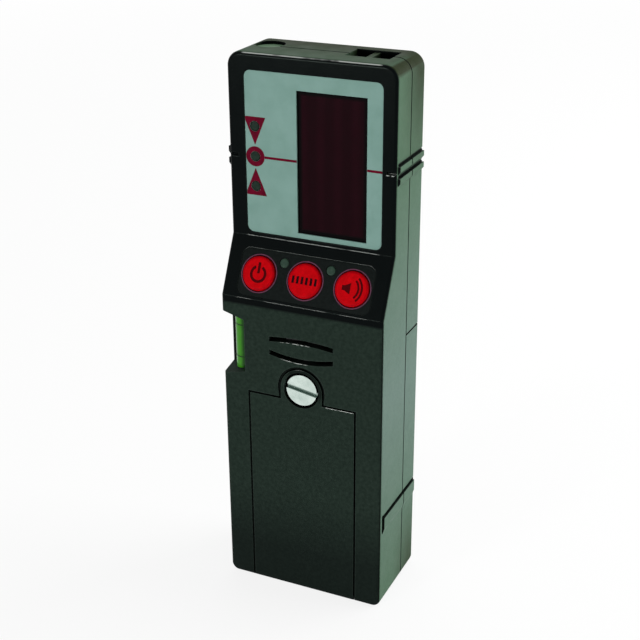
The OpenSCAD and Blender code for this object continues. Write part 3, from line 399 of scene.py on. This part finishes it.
def metal(name, low, high, rough, cloud):
    """A metal with faint clouds in its colour and polish."""
    made, tree, shader = new_finish(name)
    feed(tree, shader, {
        "Base Color": ramp(tree, mottle(tree, cloud), (0.35, low), (0.65, high)),
        "Metallic": 1.0,
        "Roughness": clouded(tree, cloud / 4, rough * 0.8, rough * 1.25),
        "Normal": bump(tree, mottle(tree, cloud / 9), 0.004 * MM),
    })
    return made


zinc_steel = metal("zinc_steel", STEEL_LOW, STEEL_HIGH, 0.34, 1.5 * MM)
dress(zinc_steel, "case_screws", "key_board_screws", "board_screws")


# Brass: the threaded clamp insert in the back, the insert for the door screw, and the battery
# contacts. The inserts are turned and pressed in hot; the contacts are bent strip.
BRASS_LOW = (0.50, 0.34, 0.11, 1)
BRASS_HIGH = (0.70, 0.50, 0.20, 1)
brass = metal("brass", BRASS_LOW, BRASS_HIGH, 0.30, 1.2 * MM)
dress(brass, "clamp_insert", "screw_insert", "battery_contacts")


# Boards: glass-epoxy with a green mask over copper tracks. The main board is screwed to posts
# of the front shell; the key board lies under the slope, and a printed film joins the two.
BOARD_LOW = (0.010, 0.070, 0.026, 1)
BOARD_HIGH = (0.022, 0.115, 0.045, 1)
FLEX_LOW = (0.34, 0.15, 0.025, 1)
FLEX_HIGH = (0.52, 0.26, 0.06, 1)
CHIP_LOW = (0.010, 0.010, 0.011, 1)
CHIP_HIGH = (0.024, 0.024, 0.026, 1)
TRACK_PITCH = 1.3 * MM
WAVE_STEP = 0.314  # distance between the bands of a wave texture at a scale of 1


def tracks(tree, pitch, direction):
    """Lines of copper under a film, from 0 to 1."""
    return add(tree, "TexWave", {"Vector": spot(tree), "Scale": WAVE_STEP / pitch, "Distortion": 2.0},
               bands_direction=direction).outputs["Fac"]


def tracked(name, low, high, direction, rough):
    """A film or mask with tracks showing through."""
    made, tree, shader = new_finish(name)
    lines = tracks(tree, TRACK_PITCH, direction)
    feed(tree, shader, {
        "Base Color": ramp(tree, lines, (0.35, low), (0.65, high)),
        "Roughness": clouded(tree, 3 * MM, rough, rough + 0.12),
        "Normal": bump(tree, lines, 0.02 * MM),
    })
    return made


def plastic(name, low, high, rough, cloud, relief, reflection=0.25):
    """A plain moulded plastic or rubber with clouds in its colour and a fine relief."""
    made, tree, shader = new_finish(name)
    feed(tree, shader, {
        "Base Color": tinted(tree, cloud, low, high),
        "Roughness": clouded(tree, cloud / 2, rough - 0.06, rough + 0.06),
        "Normal": bump(tree, mottle(tree, cloud / 6), relief),
        "Specular IOR Level": reflection,
    })
    return made


dress(tracked("board_green", BOARD_LOW, BOARD_HIGH, "Z", 0.32), "main_board", "key_board")
dress(tracked("flex_film", FLEX_LOW, FLEX_HIGH, "X", 0.28), "key_flex")
black_plastic = plastic("black_plastic", CHIP_LOW, CHIP_HIGH, 0.45, 1.5 * MM, 0.01 * MM)
dress(black_plastic, "controller_chip", "buzzer", "key_switches")


# Sensor: eight dark photodiodes in a black baffle behind a deep red acrylic filter, which is
# ribbed lengthwise behind its face and sits in the face by its flange.
WINDOW_LOW = (0.0098, 0.0006, 0.0024, 1)
WINDOW_HIGH = (0.0142, 0.0010, 0.0036, 1)
WINDOW_EDGE_SHADE = (0.0014, 0.0009, 0.0011, 1)
WINDOW_EDGE_SHADE_WIDTH = 1.5 * MM
DIODE_LOW = (0.020, 0.012, 0.026, 1)
DIODE_HIGH = (0.040, 0.026, 0.050, 1)
BAFFLE_LOW = (0.004, 0.004, 0.004, 1)
BAFFLE_HIGH = (0.010, 0.010, 0.010, 1)
RIB_PITCH = 5.2 * MM

window_front = span("sensor_window", Y)[0] + MM
window_face = [corner.co for corner in nodes["sensor_window"].data.vertices if corner.co.y < window_front]
window_left, window_right = min(point.x for point in window_face), max(point.x for point in window_face)
window_low, window_high = min(point.z for point in window_face), max(point.z for point in window_face)


def from_edge(tree, place, low, high):
    """1 at the two ends of a span, fading to 0 at the shaded band's width from them."""
    off = reckon(tree, "SUBTRACT", place, (low + high) / 2)
    half = (high - low) / 2
    return level(tree, size_of(tree, off), half - WINDOW_EDGE_SHADE_WIDTH, half - WINDOW_EDGE_SHADE_WIDTH / 2, 0.0, 1.0)


def red_filter():
    """Deep red acrylic with faint lengthwise ribs, and a painted shade band round its sunk edges."""
    made, tree, shader = new_finish("window_red")
    place = parts_of(tree, spot(tree))
    # Painted shade: a dark band round the filter's edges, where it lies sunk in the face
    rim = greater(tree, from_edge(tree, place["X"], window_left, window_right),
                  from_edge(tree, place["Z"], window_low, window_high))
    ribs = add(tree, "TexWave", {"Vector": spot(tree), "Scale": WAVE_STEP / RIB_PITCH, "Distortion": 1.2,
                                 "Detail": 2.0, "Detail Scale": 0.6}, bands_direction="X").outputs["Fac"]
    depth = times(tree, ribs, mottle(tree, 9 * MM))
    glass = ramp(tree, depth, (0.15, WINDOW_LOW), (0.6, WINDOW_HIGH))
    feed(tree, shader, {
        "Base Color": blend_colour(tree, rim, glass, WINDOW_EDGE_SHADE),
        "Roughness": clouded(tree, 6 * MM, 0.10, 0.16),
        "Transmission Weight": 0.06,
        "Specular IOR Level": 0.015,
        "IOR": 1.49,
        "Normal": bump(tree, ribs, 0.01 * MM),
    })
    return made


dress(red_filter(), "sensor_window")
dress(plastic("diode_plastic", DIODE_LOW, DIODE_HIGH, 0.25, 1.2 * MM, 0.004 * MM), "photodiodes")
dress(plastic("baffle_black", BAFFLE_LOW, BAFFLE_HIGH, 0.7, 0.8 * MM, 0.02 * MM), "sensor_baffle")


# Face label: a printed polycarbonate film let into the head, pale green-grey, with a fine matt
# face. Two triangles, a ring and the on-grade line are screen-printed on it in crimson.
LABEL_LOW = (0.168, 0.300, 0.258, 1)
LABEL_HIGH = (0.200, 0.338, 0.300, 1)
INK_LOW = (0.085, 0.0010, 0.011, 1)
INK_HIGH = (0.135, 0.0016, 0.016, 1)
INK_THICK = 0.02 * MM
MARK_GAP = 0.03 * MM
MARK_BASE = 2.7 * MM
MARK_TIP = 5.35 * MM
TRIANGLE_HALF = 3.4 * MM
LINE_HALF = 0.36 * MM
LINE_GAP = 0.1 * MM
LAMP_ROOM = 1.52 * MM


def arc(centre, radius, start=0.0, end=360.0, steps=48):
    """Points of an arc in degrees; a whole turn isn't closed."""
    whole = end - start >= 360
    count = steps if whole else steps + 1
    angles = [math.radians(start + (end - start) * i / steps) for i in range(count)]
    return [(centre[0] + radius * math.cos(a), centre[1] + radius * math.sin(a)) for a in angles]


def stroke(centre, radius, width, start, end):
    """Closed outline of an arc drawn with a pen so wide."""
    return arc(centre, radius + width / 2, start, end) + arc(centre, radius - width / 2, start, end)[::-1]


def rectangle(left, right, low, high):
    """Corners of an upright rectangle."""
    return [(left, low), (right, low), (right, high), (left, high)]


def print_on(name, outlines, place, body, made, thick=INK_THICK):
    """Ink on a surface: closed outlines, one inside another being a hole, so thick."""
    ink = bmesh.new()
    for outline in outlines:
        ring = [ink.verts.new((u, v, 0)) for u, v in outline]
        for first, second in zip(ring, ring[1:] + ring[:1]):
            ink.edges.new((first, second))
    bmesh.ops.triangle_fill(ink, edges=ink.edges[:], use_beauty=True)
    raised = bmesh.ops.extrude_face_region(ink, geom=ink.faces[:])["geom"]
    upper = [corner for corner in raised if isinstance(corner, bmesh.types.BMVert)]
    bmesh.ops.translate(ink, vec=(0, 0, thick), verts=upper)
    bmesh.ops.recalc_face_normals(ink, faces=ink.faces[:])
    ink.transform(place)
    return finish_piece(name, ink, body, made)


def finish_piece(name, mesh, body, made):
    """Turn a built mesh into a piece that rides on a body."""
    data = bpy.data.meshes.new(name)
    mesh.to_mesh(data)
    mesh.free()
    data.materials.append(made)
    piece = bpy.data.objects.new(name, data)
    bpy.context.scene.collection.objects.link(piece)
    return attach(piece, body)


def surface(across, up, out, origin):
    """Placing of a drawing on a surface: its axes and its origin."""
    return Matrix.Translation(origin) @ Matrix((across, up, out)).transposed().to_4x4()


label_front = span("face_label", Y)[0]
face = surface(X, Z, -Y, Vector((0, label_front, 0)))
lamp_column = middle("grade_lamp", X)
grade = middle("grade_lamp", Z)
label_left, label_right = span("face_label", X)
mark_half = lamp_column - label_left - MARK_GAP
marks = [arc((lamp_column, grade), mark_half), arc((lamp_column, grade), LAMP_ROOM)]
for lamp, away in (("upper_lamp", 1), ("lower_lamp", -1)):
    centre = middle(lamp, Z)
    base = centre + away * MARK_BASE
    # The lamps stand so near the label's edge here that it cuts the triangles' outer corners
    corner_cut = away * (MARK_BASE + MARK_TIP) * (1 - mark_half / TRIANGLE_HALF)
    marks.append([(lamp_column - mark_half, base), (lamp_column + TRIANGLE_HALF, base),
                  (lamp_column, centre - away * MARK_TIP), (lamp_column - mark_half, base - corner_cut)])
    marks.append(arc((lamp_column, centre), LAMP_ROOM))
line_low, line_high = grade - LINE_HALF, grade + LINE_HALF
lines = [rectangle(lamp_column + mark_half + MARK_GAP, window_left - LINE_GAP, line_low, line_high),
         rectangle(window_right + LINE_GAP, label_right, line_low, line_high)]
crimson_ink = plastic("crimson_ink", INK_LOW, INK_HIGH, 0.42, 2 * MM, 0.004 * MM, 0.02)
print_on("printed_marks", marks, face, "case", crimson_ink)
print_on("printed_line", lines, face, "case", crimson_ink)
dress(plastic("label_film", LABEL_LOW, LABEL_HIGH, 0.46, 5 * MM, 0.006 * MM, 0.10), "face_label")


# Lamps: five light-emitting diodes with smoked lenses, moulded in epoxy round their leads.
# Three show through the label, two small ones beside the keys; all are off.
LENS_LOW = (0.006, 0.015, 0.010, 1)
LENS_HIGH = (0.014, 0.030, 0.020, 1)
STATUS_LOW = (0.022, 0.046, 0.032, 1)
STATUS_HIGH = (0.036, 0.068, 0.048, 1)


def lens(name, low, high):
    """A smoked epoxy lens, clear at its skin."""
    made, tree, shader = new_finish(name)
    feed(tree, shader, {
        "Base Color": tinted(tree, 0.9 * MM, low, high),
        "Roughness": clouded(tree, 0.5 * MM, 0.30, 0.42),
        "Specular IOR Level": 0.06,
        "Normal": bump(tree, mottle(tree, 0.3 * MM), 0.003 * MM),
    })
    return made


dress(lens("lamp_lens", LENS_LOW, LENS_HIGH), "upper_lamp", "grade_lamp", "lower_lamp")
dress(lens("status_lens", STATUS_LOW, STATUS_HIGH), "left_status_lamp", "right_status_lamp")


# Key panel: a black printed film, punched and glued into a shallow recess of the slope, with a thin plum
# ring round each key hole as a painted highlight on the hole's edge.
PANEL_LOW = (0.0026, 0.0046, 0.0040, 1)
PANEL_HIGH = (0.0050, 0.0078, 0.0070, 1)
RING_LOW = (0.095, 0.022, 0.050, 1)
RING_HIGH = (0.140, 0.036, 0.078, 1)
RING_WIDTH = 0.30 * MM
KEYS = {"power_key": "power_button", "mode_key": "mode_button", "sound_key": "sound_button"}
press = next(Vector(joint["axis"]) for joint in frame["joints"] if joint["name"] == "mode_press")
slope_out = -press.normalized()
slope_up = Vector((0, slope_out.z, -slope_out.y))


def key_top(key, out):
    """Placing of a drawing centred on a key, so far out along the slope's normal."""
    origin = middle(key, X) * X + middle(key, slope_up) * slope_up + out * slope_out
    return surface(X, slope_up, slope_out, origin)


def hole_round(key):
    """Radius of the panel's hole round a key."""
    centre = Vector((middle(key, X), middle(key, slope_up)))
    corners = nodes["key_panel"].data.vertices
    return min((Vector((corner.co.x, corner.co.dot(slope_up))) - centre).length for corner in corners)


dress(plastic("panel_film", PANEL_LOW, PANEL_HIGH, 0.34, 1.0 * MM, 0.012 * MM, 0.04), "key_panel")
# Painted highlight: a thin plum ring on the edge of each key hole
plum_edge_highlight = plastic("plum_edge_highlight", RING_LOW, RING_HIGH, 0.4, 1.5 * MM, 0.003 * MM, 0.15)
panel_out = span("key_panel", slope_out)[1]
for key in KEYS:
    hole = hole_round(key)
    ring = [arc((0, 0), hole + RING_WIDTH, steps=64), arc((0, 0), hole, steps=64)]
    print_on(key + "_ring", ring, key_top(key, panel_out), "case", plum_edge_highlight)


# Keys: caps moulded in red silicone-coated plastic with a soft top edge, each on a flange below
# the panel and a stem over its switch. Their signs are printed in dark maroon and black.
RED_LOW = (0.48, 0.0008, 0.0034, 1)
RED_HIGH = (0.62, 0.0012, 0.0050, 1)
# Painted shade on the caps' rounded rims
RED_RIM_SHADE = (0.130, 0.0006, 0.0080, 1)
RIM_REACH = 1.1 * MM
SIGN_LOW = (0.058, 0.0005, 0.0016, 1)
SIGN_HIGH = (0.084, 0.0007, 0.0026, 1)
SYMBOL_LOW = (0.010, 0.0008, 0.002, 1)
SYMBOL_HIGH = (0.020, 0.0014, 0.004, 1)
PIN_LOW = (0.62, 0.58, 0.46, 1)
PIN_HIGH = (0.74, 0.70, 0.58, 1)
PEN = 0.80 * MM
POWER_R = 2.2 * MM
POWER_GAP = 27
POWER_BAR = 3.2 * MM
POWER_DROP = 0.2 * MM
BAR_COUNT = 6
BAR_PITCH = 1.4 * MM
BAR_WIDTH = 0.72 * MM
BAR_HEIGHT = 2.1 * MM
THIN_PEN = 0.6 * MM
HORN = ((-2.9, -0.7), (-2.1, -0.7), (-0.4, -1.6), (-0.4, 1.6), (-2.1, 0.7), (-2.9, 0.7))  # in mm
WAVE_RADII = (3.35 * MM, 4.4 * MM)
WAVE_SPREAD = 47
WAVE_CENTRE = -1.3 * MM


def red_caps():
    """Soft red coating, painted darker at the rims as shade on their rounded edges."""
    made, tree, shader = new_finish("key_red")
    rounded, edge = rounded_edge(tree, RIM_REACH, 0.998, 0.90)
    red = tinted(tree, 1.4 * MM, RED_LOW, RED_HIGH)
    feed(tree, shader, {
        "Base Color": blend_colour(tree, edge, red, RED_RIM_SHADE),
        "Roughness": clouded(tree, 0.7 * MM, 0.34, 0.46),
        "Normal": bump(tree, mottle(tree, 0.23 * MM), 0.012 * MM, Normal=rounded),
        "Specular IOR Level": 0.015,
    })
    return made


power_symbol = [stroke((0, -POWER_DROP), POWER_R, PEN, 90 + POWER_GAP, 450 - POWER_GAP),
                rectangle(-PEN / 2, PEN / 2, 0, POWER_BAR)]
first_bar = -(BAR_COUNT - 1) / 2 * BAR_PITCH
bar_places = [first_bar + number * BAR_PITCH for number in range(BAR_COUNT)]
mode_symbol = [rectangle(place - BAR_WIDTH / 2, place + BAR_WIDTH / 2, -BAR_HEIGHT / 2, BAR_HEIGHT / 2)
               for place in bar_places]
sound_symbol = [[(u * MM, v * MM) for u, v in HORN]]
for radius in WAVE_RADII:
    sound_symbol.append(stroke((WAVE_CENTRE, 0), radius, THIN_PEN, -WAVE_SPREAD, WAVE_SPREAD))
symbols = {"power_key": power_symbol, "mode_key": mode_symbol, "sound_key": sound_symbol}
sign_ink = plastic("sign_ink", SIGN_LOW, SIGN_HIGH, 0.4, 0.8 * MM, 0.003 * MM, 0.02)
symbol_ink = plastic("symbol_ink", SYMBOL_LOW, SYMBOL_HIGH, 0.4, 0.8 * MM, 0.003 * MM, 0.02)
inks = {"power_key": sign_ink, "mode_key": symbol_ink, "sound_key": sign_ink}
for key, body in KEYS.items():
    top = key_top(key, span(key, slope_out)[1])
    print_on(key + "_symbol", symbols[key], top, body, inks[key])
dress(red_caps(), *KEYS)
dress(plastic("plunger_plastic", PIN_LOW, PIN_HIGH, 0.4, 1 * MM, 0.004 * MM),
      "power_plunger", "mode_plunger", "sound_plunger")


# Level vial: a clear acrylic tube with green spirit and a bubble, closed by a plug and held
# upright in a corner notch of the front shell. Two dark lines are printed round it.
TUBE_EDGE_HIGHLIGHT = (0.150, 0.300, 0.130, 1)
TUBE_MIDDLE = (0.046, 0.262, 0.010, 1)
TUBE_SHADED = (0.012, 0.070, 0.008, 1)
SPIRIT_LOW = (0.10, 0.36, 0.02, 1)
SPIRIT_HIGH = (0.16, 0.48, 0.04, 1)
LINE_INK_LOW = (0.006, 0.030, 0.003, 1)
LINE_INK_HIGH = (0.012, 0.050, 0.006, 1)
PLUG_LOW = (0.035, 0.14, 0.02, 1)
PLUG_HIGH = (0.06, 0.20, 0.03, 1)
VIAL_LINES = (75.3 * MM, 85.6 * MM)
VIAL_LINE_HIGH = 0.4 * MM
VIAL_LINE_HALF_TURN = 75
CORNER = 225


def clear_tube():
    """Clear acrylic full of green, with a painted highlight at its outer edge and painted shade where it
    goes into the notch.
    """
    made, tree, shader = new_finish("vial_clear")
    around = parts_of(tree, add(tree, "NewGeometry", {}).outputs["Normal"])["X"]
    # Painted light: paler where the tube turns to its outer side, darker where it turns into the notch
    across = reckon(tree, "ADD", level(tree, around, -1.0, 1.0, 0.0, 1.0),
                    clouded(tree, 3 * MM, -0.02, 0.02))
    feed(tree, shader, {
        "Base Color": ramp(tree, across, (0.06, TUBE_EDGE_HIGHLIGHT), (0.22, TUBE_MIDDLE), (0.45, TUBE_MIDDLE),
                           (0.62, TUBE_SHADED)),
        "Roughness": clouded(tree, 2 * MM, 0.06, 0.12),
        "Transmission Weight": 0.15,
        "Specular IOR Level": 0.12,
        "IOR": 1.49,
        "Normal": bump(tree, mottle(tree, 1.5 * MM), 0.003 * MM),
    })
    return made


def spirit():
    """Green spirit: bright, a little cloudy."""
    made, tree, shader = new_finish("vial_green")
    feed(tree, shader, {
        "Base Color": tinted(tree, 4 * MM, SPIRIT_LOW, SPIRIT_HIGH),
        "Roughness": clouded(tree, 3 * MM, 0.08, 0.14),
        "Transmission Weight": 0.35,
        "IOR": 1.36,
        "Normal": bump(tree, mottle(tree, 3 * MM), 0.003 * MM),
    })
    return made


def vial_line(name, height):
    """A printed line round the open side of the vial."""
    axis = Vector((middle("vial_tube", X), middle("vial_tube", Y), height))
    radius = (span("vial_tube", X)[1] - span("vial_tube", X)[0]) / 2
    line = bmesh.new()
    inner = arc(axis, radius, CORNER - VIAL_LINE_HALF_TURN, CORNER + VIAL_LINE_HALF_TURN)
    outer = arc(axis, radius + INK_THICK, CORNER - VIAL_LINE_HALF_TURN, CORNER + VIAL_LINE_HALF_TURN)
    rows = [[line.verts.new((x, y, height + up)) for x, y in points]
            for points, up in ((inner, -VIAL_LINE_HIGH / 2), (outer, -VIAL_LINE_HIGH / 2),
                               (outer, VIAL_LINE_HIGH / 2), (inner, VIAL_LINE_HIGH / 2))]
    for first, second in zip(rows, rows[1:] + rows[:1]):
        for i in range(len(first) - 1):
            line.faces.new((first[i], first[i + 1], second[i + 1], second[i]))
    line.faces.new([row[0] for row in rows])
    line.faces.new([row[-1] for row in reversed(rows)])
    bmesh.ops.recalc_face_normals(line, faces=line.faces[:])
    return finish_piece(name, line, "case", line_ink)


line_ink = plastic("line_ink", LINE_INK_LOW, LINE_INK_HIGH, 0.4, 0.8 * MM, 0.003 * MM, 0.1)
dress(clear_tube(), "vial_tube")
dress(spirit(), "vial_liquid")
dress(plastic("plug_green", PLUG_LOW, PLUG_HIGH, 0.4, 1.5 * MM, 0.006 * MM), "vial_plug")
for number, height in enumerate(VIAL_LINES):
    vial_line("vial_line_%d" % (number + 1), height)


# Top magnet: a small disc, nickel plated and lacquered in the case's olive grey, glued into the
# round recess of the top. It holds the receiver to steel beams.
LACQUER_LOW = (0.085, 0.150, 0.088, 1)
LACQUER_HIGH = (0.110, 0.185, 0.112, 1)
dress(plastic("magnet_lacquer", LACQUER_LOW, LACQUER_HIGH, 0.42, 1.6 * MM, 0.01 * MM, 0.06), "top_magnet")


# Battery: a nine volt block, a lacquered steel can with a paler band at its upper end and two
# bright snap terminals, held between the contacts and the foam pad on the door.
CAN_DARK = (0.016, 0.018, 0.022, 1)
CAN_PALE = (0.36, 0.34, 0.30, 1)
NICKEL_LOW = (0.70, 0.70, 0.67, 1)
NICKEL_HIGH = (0.86, 0.86, 0.83, 1)
CAN_BAND = 9 * MM


def lacquered_can():
    """Lacquered steel, dark with a paler upper band."""
    made, tree, shader = new_finish("battery_can")
    height = parts_of(tree, spot(tree))["Z"]
    edge = span("battery", Z)[1] - CAN_BAND
    band = level(tree, height, edge, edge + 0.1 * MM, 0.0, 1.0)
    feed(tree, shader, {
        "Base Color": blend_colour(tree, band, CAN_DARK, CAN_PALE),
        "Metallic": 0.6,
        "Roughness": clouded(tree, 5 * MM, 0.26, 0.36),
        "Normal": bump(tree, mottle(tree, 2 * MM), 0.006 * MM),
    })
    return made


dress(lacquered_can(), "battery")
bright_nickel = metal("bright_nickel", NICKEL_LOW, NICKEL_HIGH, 0.22, 2 * MM)
dress(bright_nickel, "battery_terminals")


# Battery door: moulded with the case in the same plastic, hooked behind the ledge at the base
# and held by the coin screw. A rubber ring seals it and a foam pad presses on the battery.
RUBBER_LOW = (0.008, 0.008, 0.008, 1)
RUBBER_HIGH = (0.018, 0.018, 0.018, 1)
FOAM_LOW = (0.020, 0.020, 0.023, 1)
FOAM_HIGH = (0.060, 0.060, 0.066, 1)
dress(case_plastic, "battery_door")
dress(plastic("rubber_black", RUBBER_LOW, RUBBER_HIGH, 0.6, 0.8 * MM, 0.01 * MM), "door_seal")
dress(plastic("foam", FOAM_LOW, FOAM_HIGH, 0.85, 0.9 * MM, 0.12 * MM), "battery_pad")


# Door screw: turned from steel, bright nickel plated, with a coin slot across its flat head.
# A spring clip in its groove keeps it on the door.
SCREW_LOW = (0.50, 0.60, 0.55, 1)
SCREW_HIGH = (0.64, 0.73, 0.68, 1)
SLOT_SHADE_AND_GRIME = (0.06, 0.11, 0.09, 1)
SLOT_REACH = 1.6 * MM
TURNING_PITCH = 0.16 * MM


def turned_steel():
    """Bright plated steel with the rings that turning leaves on its face."""
    made, tree, shader = new_finish("bright_steel")
    centred = add(tree, "Mapping", {"Vector": spot(tree), "Location": (0, 0, -middle("door_screw", Z))})
    rings = add(tree, "TexWave", {"Vector": centred.outputs["Vector"], "Scale": WAVE_STEP / TURNING_PITCH,
                                  "Distortion": 0.6}, wave_type="RINGS", rings_direction="Y").outputs["Fac"]
    plating = tinted(tree, 2.5 * MM, SCREW_LOW, SCREW_HIGH)
    feed(tree, shader, {
        # Painted shade and grime in the coin slot, found by ambient occlusion
        "Base Color": blend_colour(tree, crevice(tree, SLOT_REACH), plating, SLOT_SHADE_AND_GRIME),
        "Metallic": 1.0,
        "Roughness": clouded(tree, 1.5 * MM, 0.20, 0.30),
        "Normal": bump(tree, rings, 0.004 * MM),
    })
    return made


dress(turned_steel(), "door_screw")
dress(zinc_steel, "screw_clip")


# Studio: a wide pale floor and a white surround, with a large soft lamp at the right, a weaker
# one overhead and a small one in front, so that the black case reads by its sides.
FLOOR_HALF = 4.0
FLOOR_COLOUR = (0.86, 0.87, 0.86, 1)
FILL = 0.30
FLOOR_LIFT = 0.85
FLOOR_NEAR = 0.25
FLOOR_FAR = 1.2
# Place, size and power of each lamp
STUDIO_LAMPS = {"right_lamp": ((0.85, 0.55, 0.35), 0.9, 18.0),
                "top_lamp": ((-0.1, 0.45, 1.1), 0.9, 5.0),
                "front_lamp": ((-0.46, -1.10, 0.20), 0.22, 6.5)}


def shown(tree):
    """1 for what the camera sees, straight or by reflection or through glass."""
    path = add(tree, "LightPath", {})
    seen = greater(tree, path.outputs["Is Camera Ray"], path.outputs["Is Glossy Ray"])
    return greater(tree, seen, path.outputs["Is Transmission Ray"])


def floor_finish():
    """A pale floor, lifted to white for the camera but keeping the shadow near the part."""
    made, tree, shader = new_finish("studio_floor")
    away = vector(tree, "LENGTH", spot(tree))["Value"]
    feed(tree, shader, {"Base Color": FLOOR_COLOUR, "Roughness": 0.9, "Specular IOR Level": 0.1})
    white = add(tree, "Emission", {"Color": (1, 1, 1, 1), "Strength": 1.0})
    lift = times(tree, shown(tree), level(tree, away, FLOOR_NEAR, FLOOR_FAR, FLOOR_LIFT, 1.0))
    both = add(tree, "MixShader", {0: lift, 1: shader.outputs["BSDF"], 2: white.outputs["Emission"]})
    tree.links.new(both.outputs["Shader"], tree.nodes["Material Output"].inputs["Surface"])
    return made


floor_mesh = bmesh.new()
corners = [(-1, -1), (1, -1), (1, 1), (-1, 1)]
floor_mesh.faces.new([floor_mesh.verts.new((x * FLOOR_HALF, y * FLOOR_HALF, 0)) for x, y in corners])
floor_data = bpy.data.meshes.new("floor")
floor_mesh.to_mesh(floor_data)
floor_mesh.free()
floor_data.materials.append(floor_finish())
floor = bpy.data.objects.new("floor", floor_data)
bpy.context.scene.collection.objects.link(floor)

world = bpy.data.worlds.new("surround")
bpy.context.scene.world = world
world.use_nodes = True
sky = world.node_tree
sky.nodes.clear()
fill = add(sky, "Background", {"Color": (1, 1, 1, 1), "Strength": FILL})
white = add(sky, "Background", {"Color": (1, 1, 1, 1), "Strength": 1.0})
both = add(sky, "MixShader", {0: shown(sky), 1: fill.outputs["Background"], 2: white.outputs["Background"]})
sky.links.new(both.outputs["Shader"], add(sky, "OutputWorld", {}).inputs["Surface"])


def soft_lamp(name, position, size, power):
    """A square soft lamp turned to the middle of the case."""
    data = bpy.data.lights.new(name, "AREA")
    data.shape = "SQUARE"
    data.size = size
    data.energy = power
    lamp = bpy.data.objects.new(name, data)
    lamp.location = position
    aim = Vector((0, 0, (cad_box[0][2] + cad_box[1][2]) / 2)) - Vector(position)
    lamp.rotation_euler = aim.to_track_quat("-Z", "Y").to_euler()
    bpy.context.scene.collection.objects.link(lamp)


for name, (position, size, power) in STUDIO_LAMPS.items():
    soft_lamp(name, position, size, power)
bpy.context.scene.view_settings.view_transform = "Standard"


# Camera: a long lens in front, to the right and above, as the photograph was taken. Its place
# and its lens were fitted to the edges of the case in the photograph.
CAMERA_AZIMUTH = math.radians(24.848)
CAMERA_RISE = math.radians(23.771)
CAMERA_ROLL = math.radians(-0.337)
CAMERA_DISTANCE = 377.85 * MM
CAMERA_TARGET = Vector((-0.482, 0.0, 85.842)) * MM
CAMERA_LENS = 71.73
SENSOR_WIDTH = 36
back = Vector((math.sin(CAMERA_AZIMUTH) * math.cos(CAMERA_RISE),
               -math.cos(CAMERA_AZIMUTH) * math.cos(CAMERA_RISE), math.sin(CAMERA_RISE)))
right = Vector((math.cos(CAMERA_AZIMUTH), math.sin(CAMERA_AZIMUTH), 0))
up = back.cross(right)
rolled_right = math.cos(CAMERA_ROLL) * right + math.sin(CAMERA_ROLL) * up
rolled_up = math.cos(CAMERA_ROLL) * up - math.sin(CAMERA_ROLL) * right
camera_data = bpy.data.cameras.new("camera")
camera_data.lens = CAMERA_LENS
camera_data.sensor_width = SENSOR_WIDTH
camera_data.sensor_fit = "HORIZONTAL"
camera_data.clip_start = 0.01
camera = bpy.data.objects.new("camera", camera_data)
camera.matrix_world = surface(rolled_right, rolled_up, back, CAMERA_TARGET + CAMERA_DISTANCE * back)
bpy.context.scene.collection.objects.link(camera)
bpy.context.scene.camera = camera
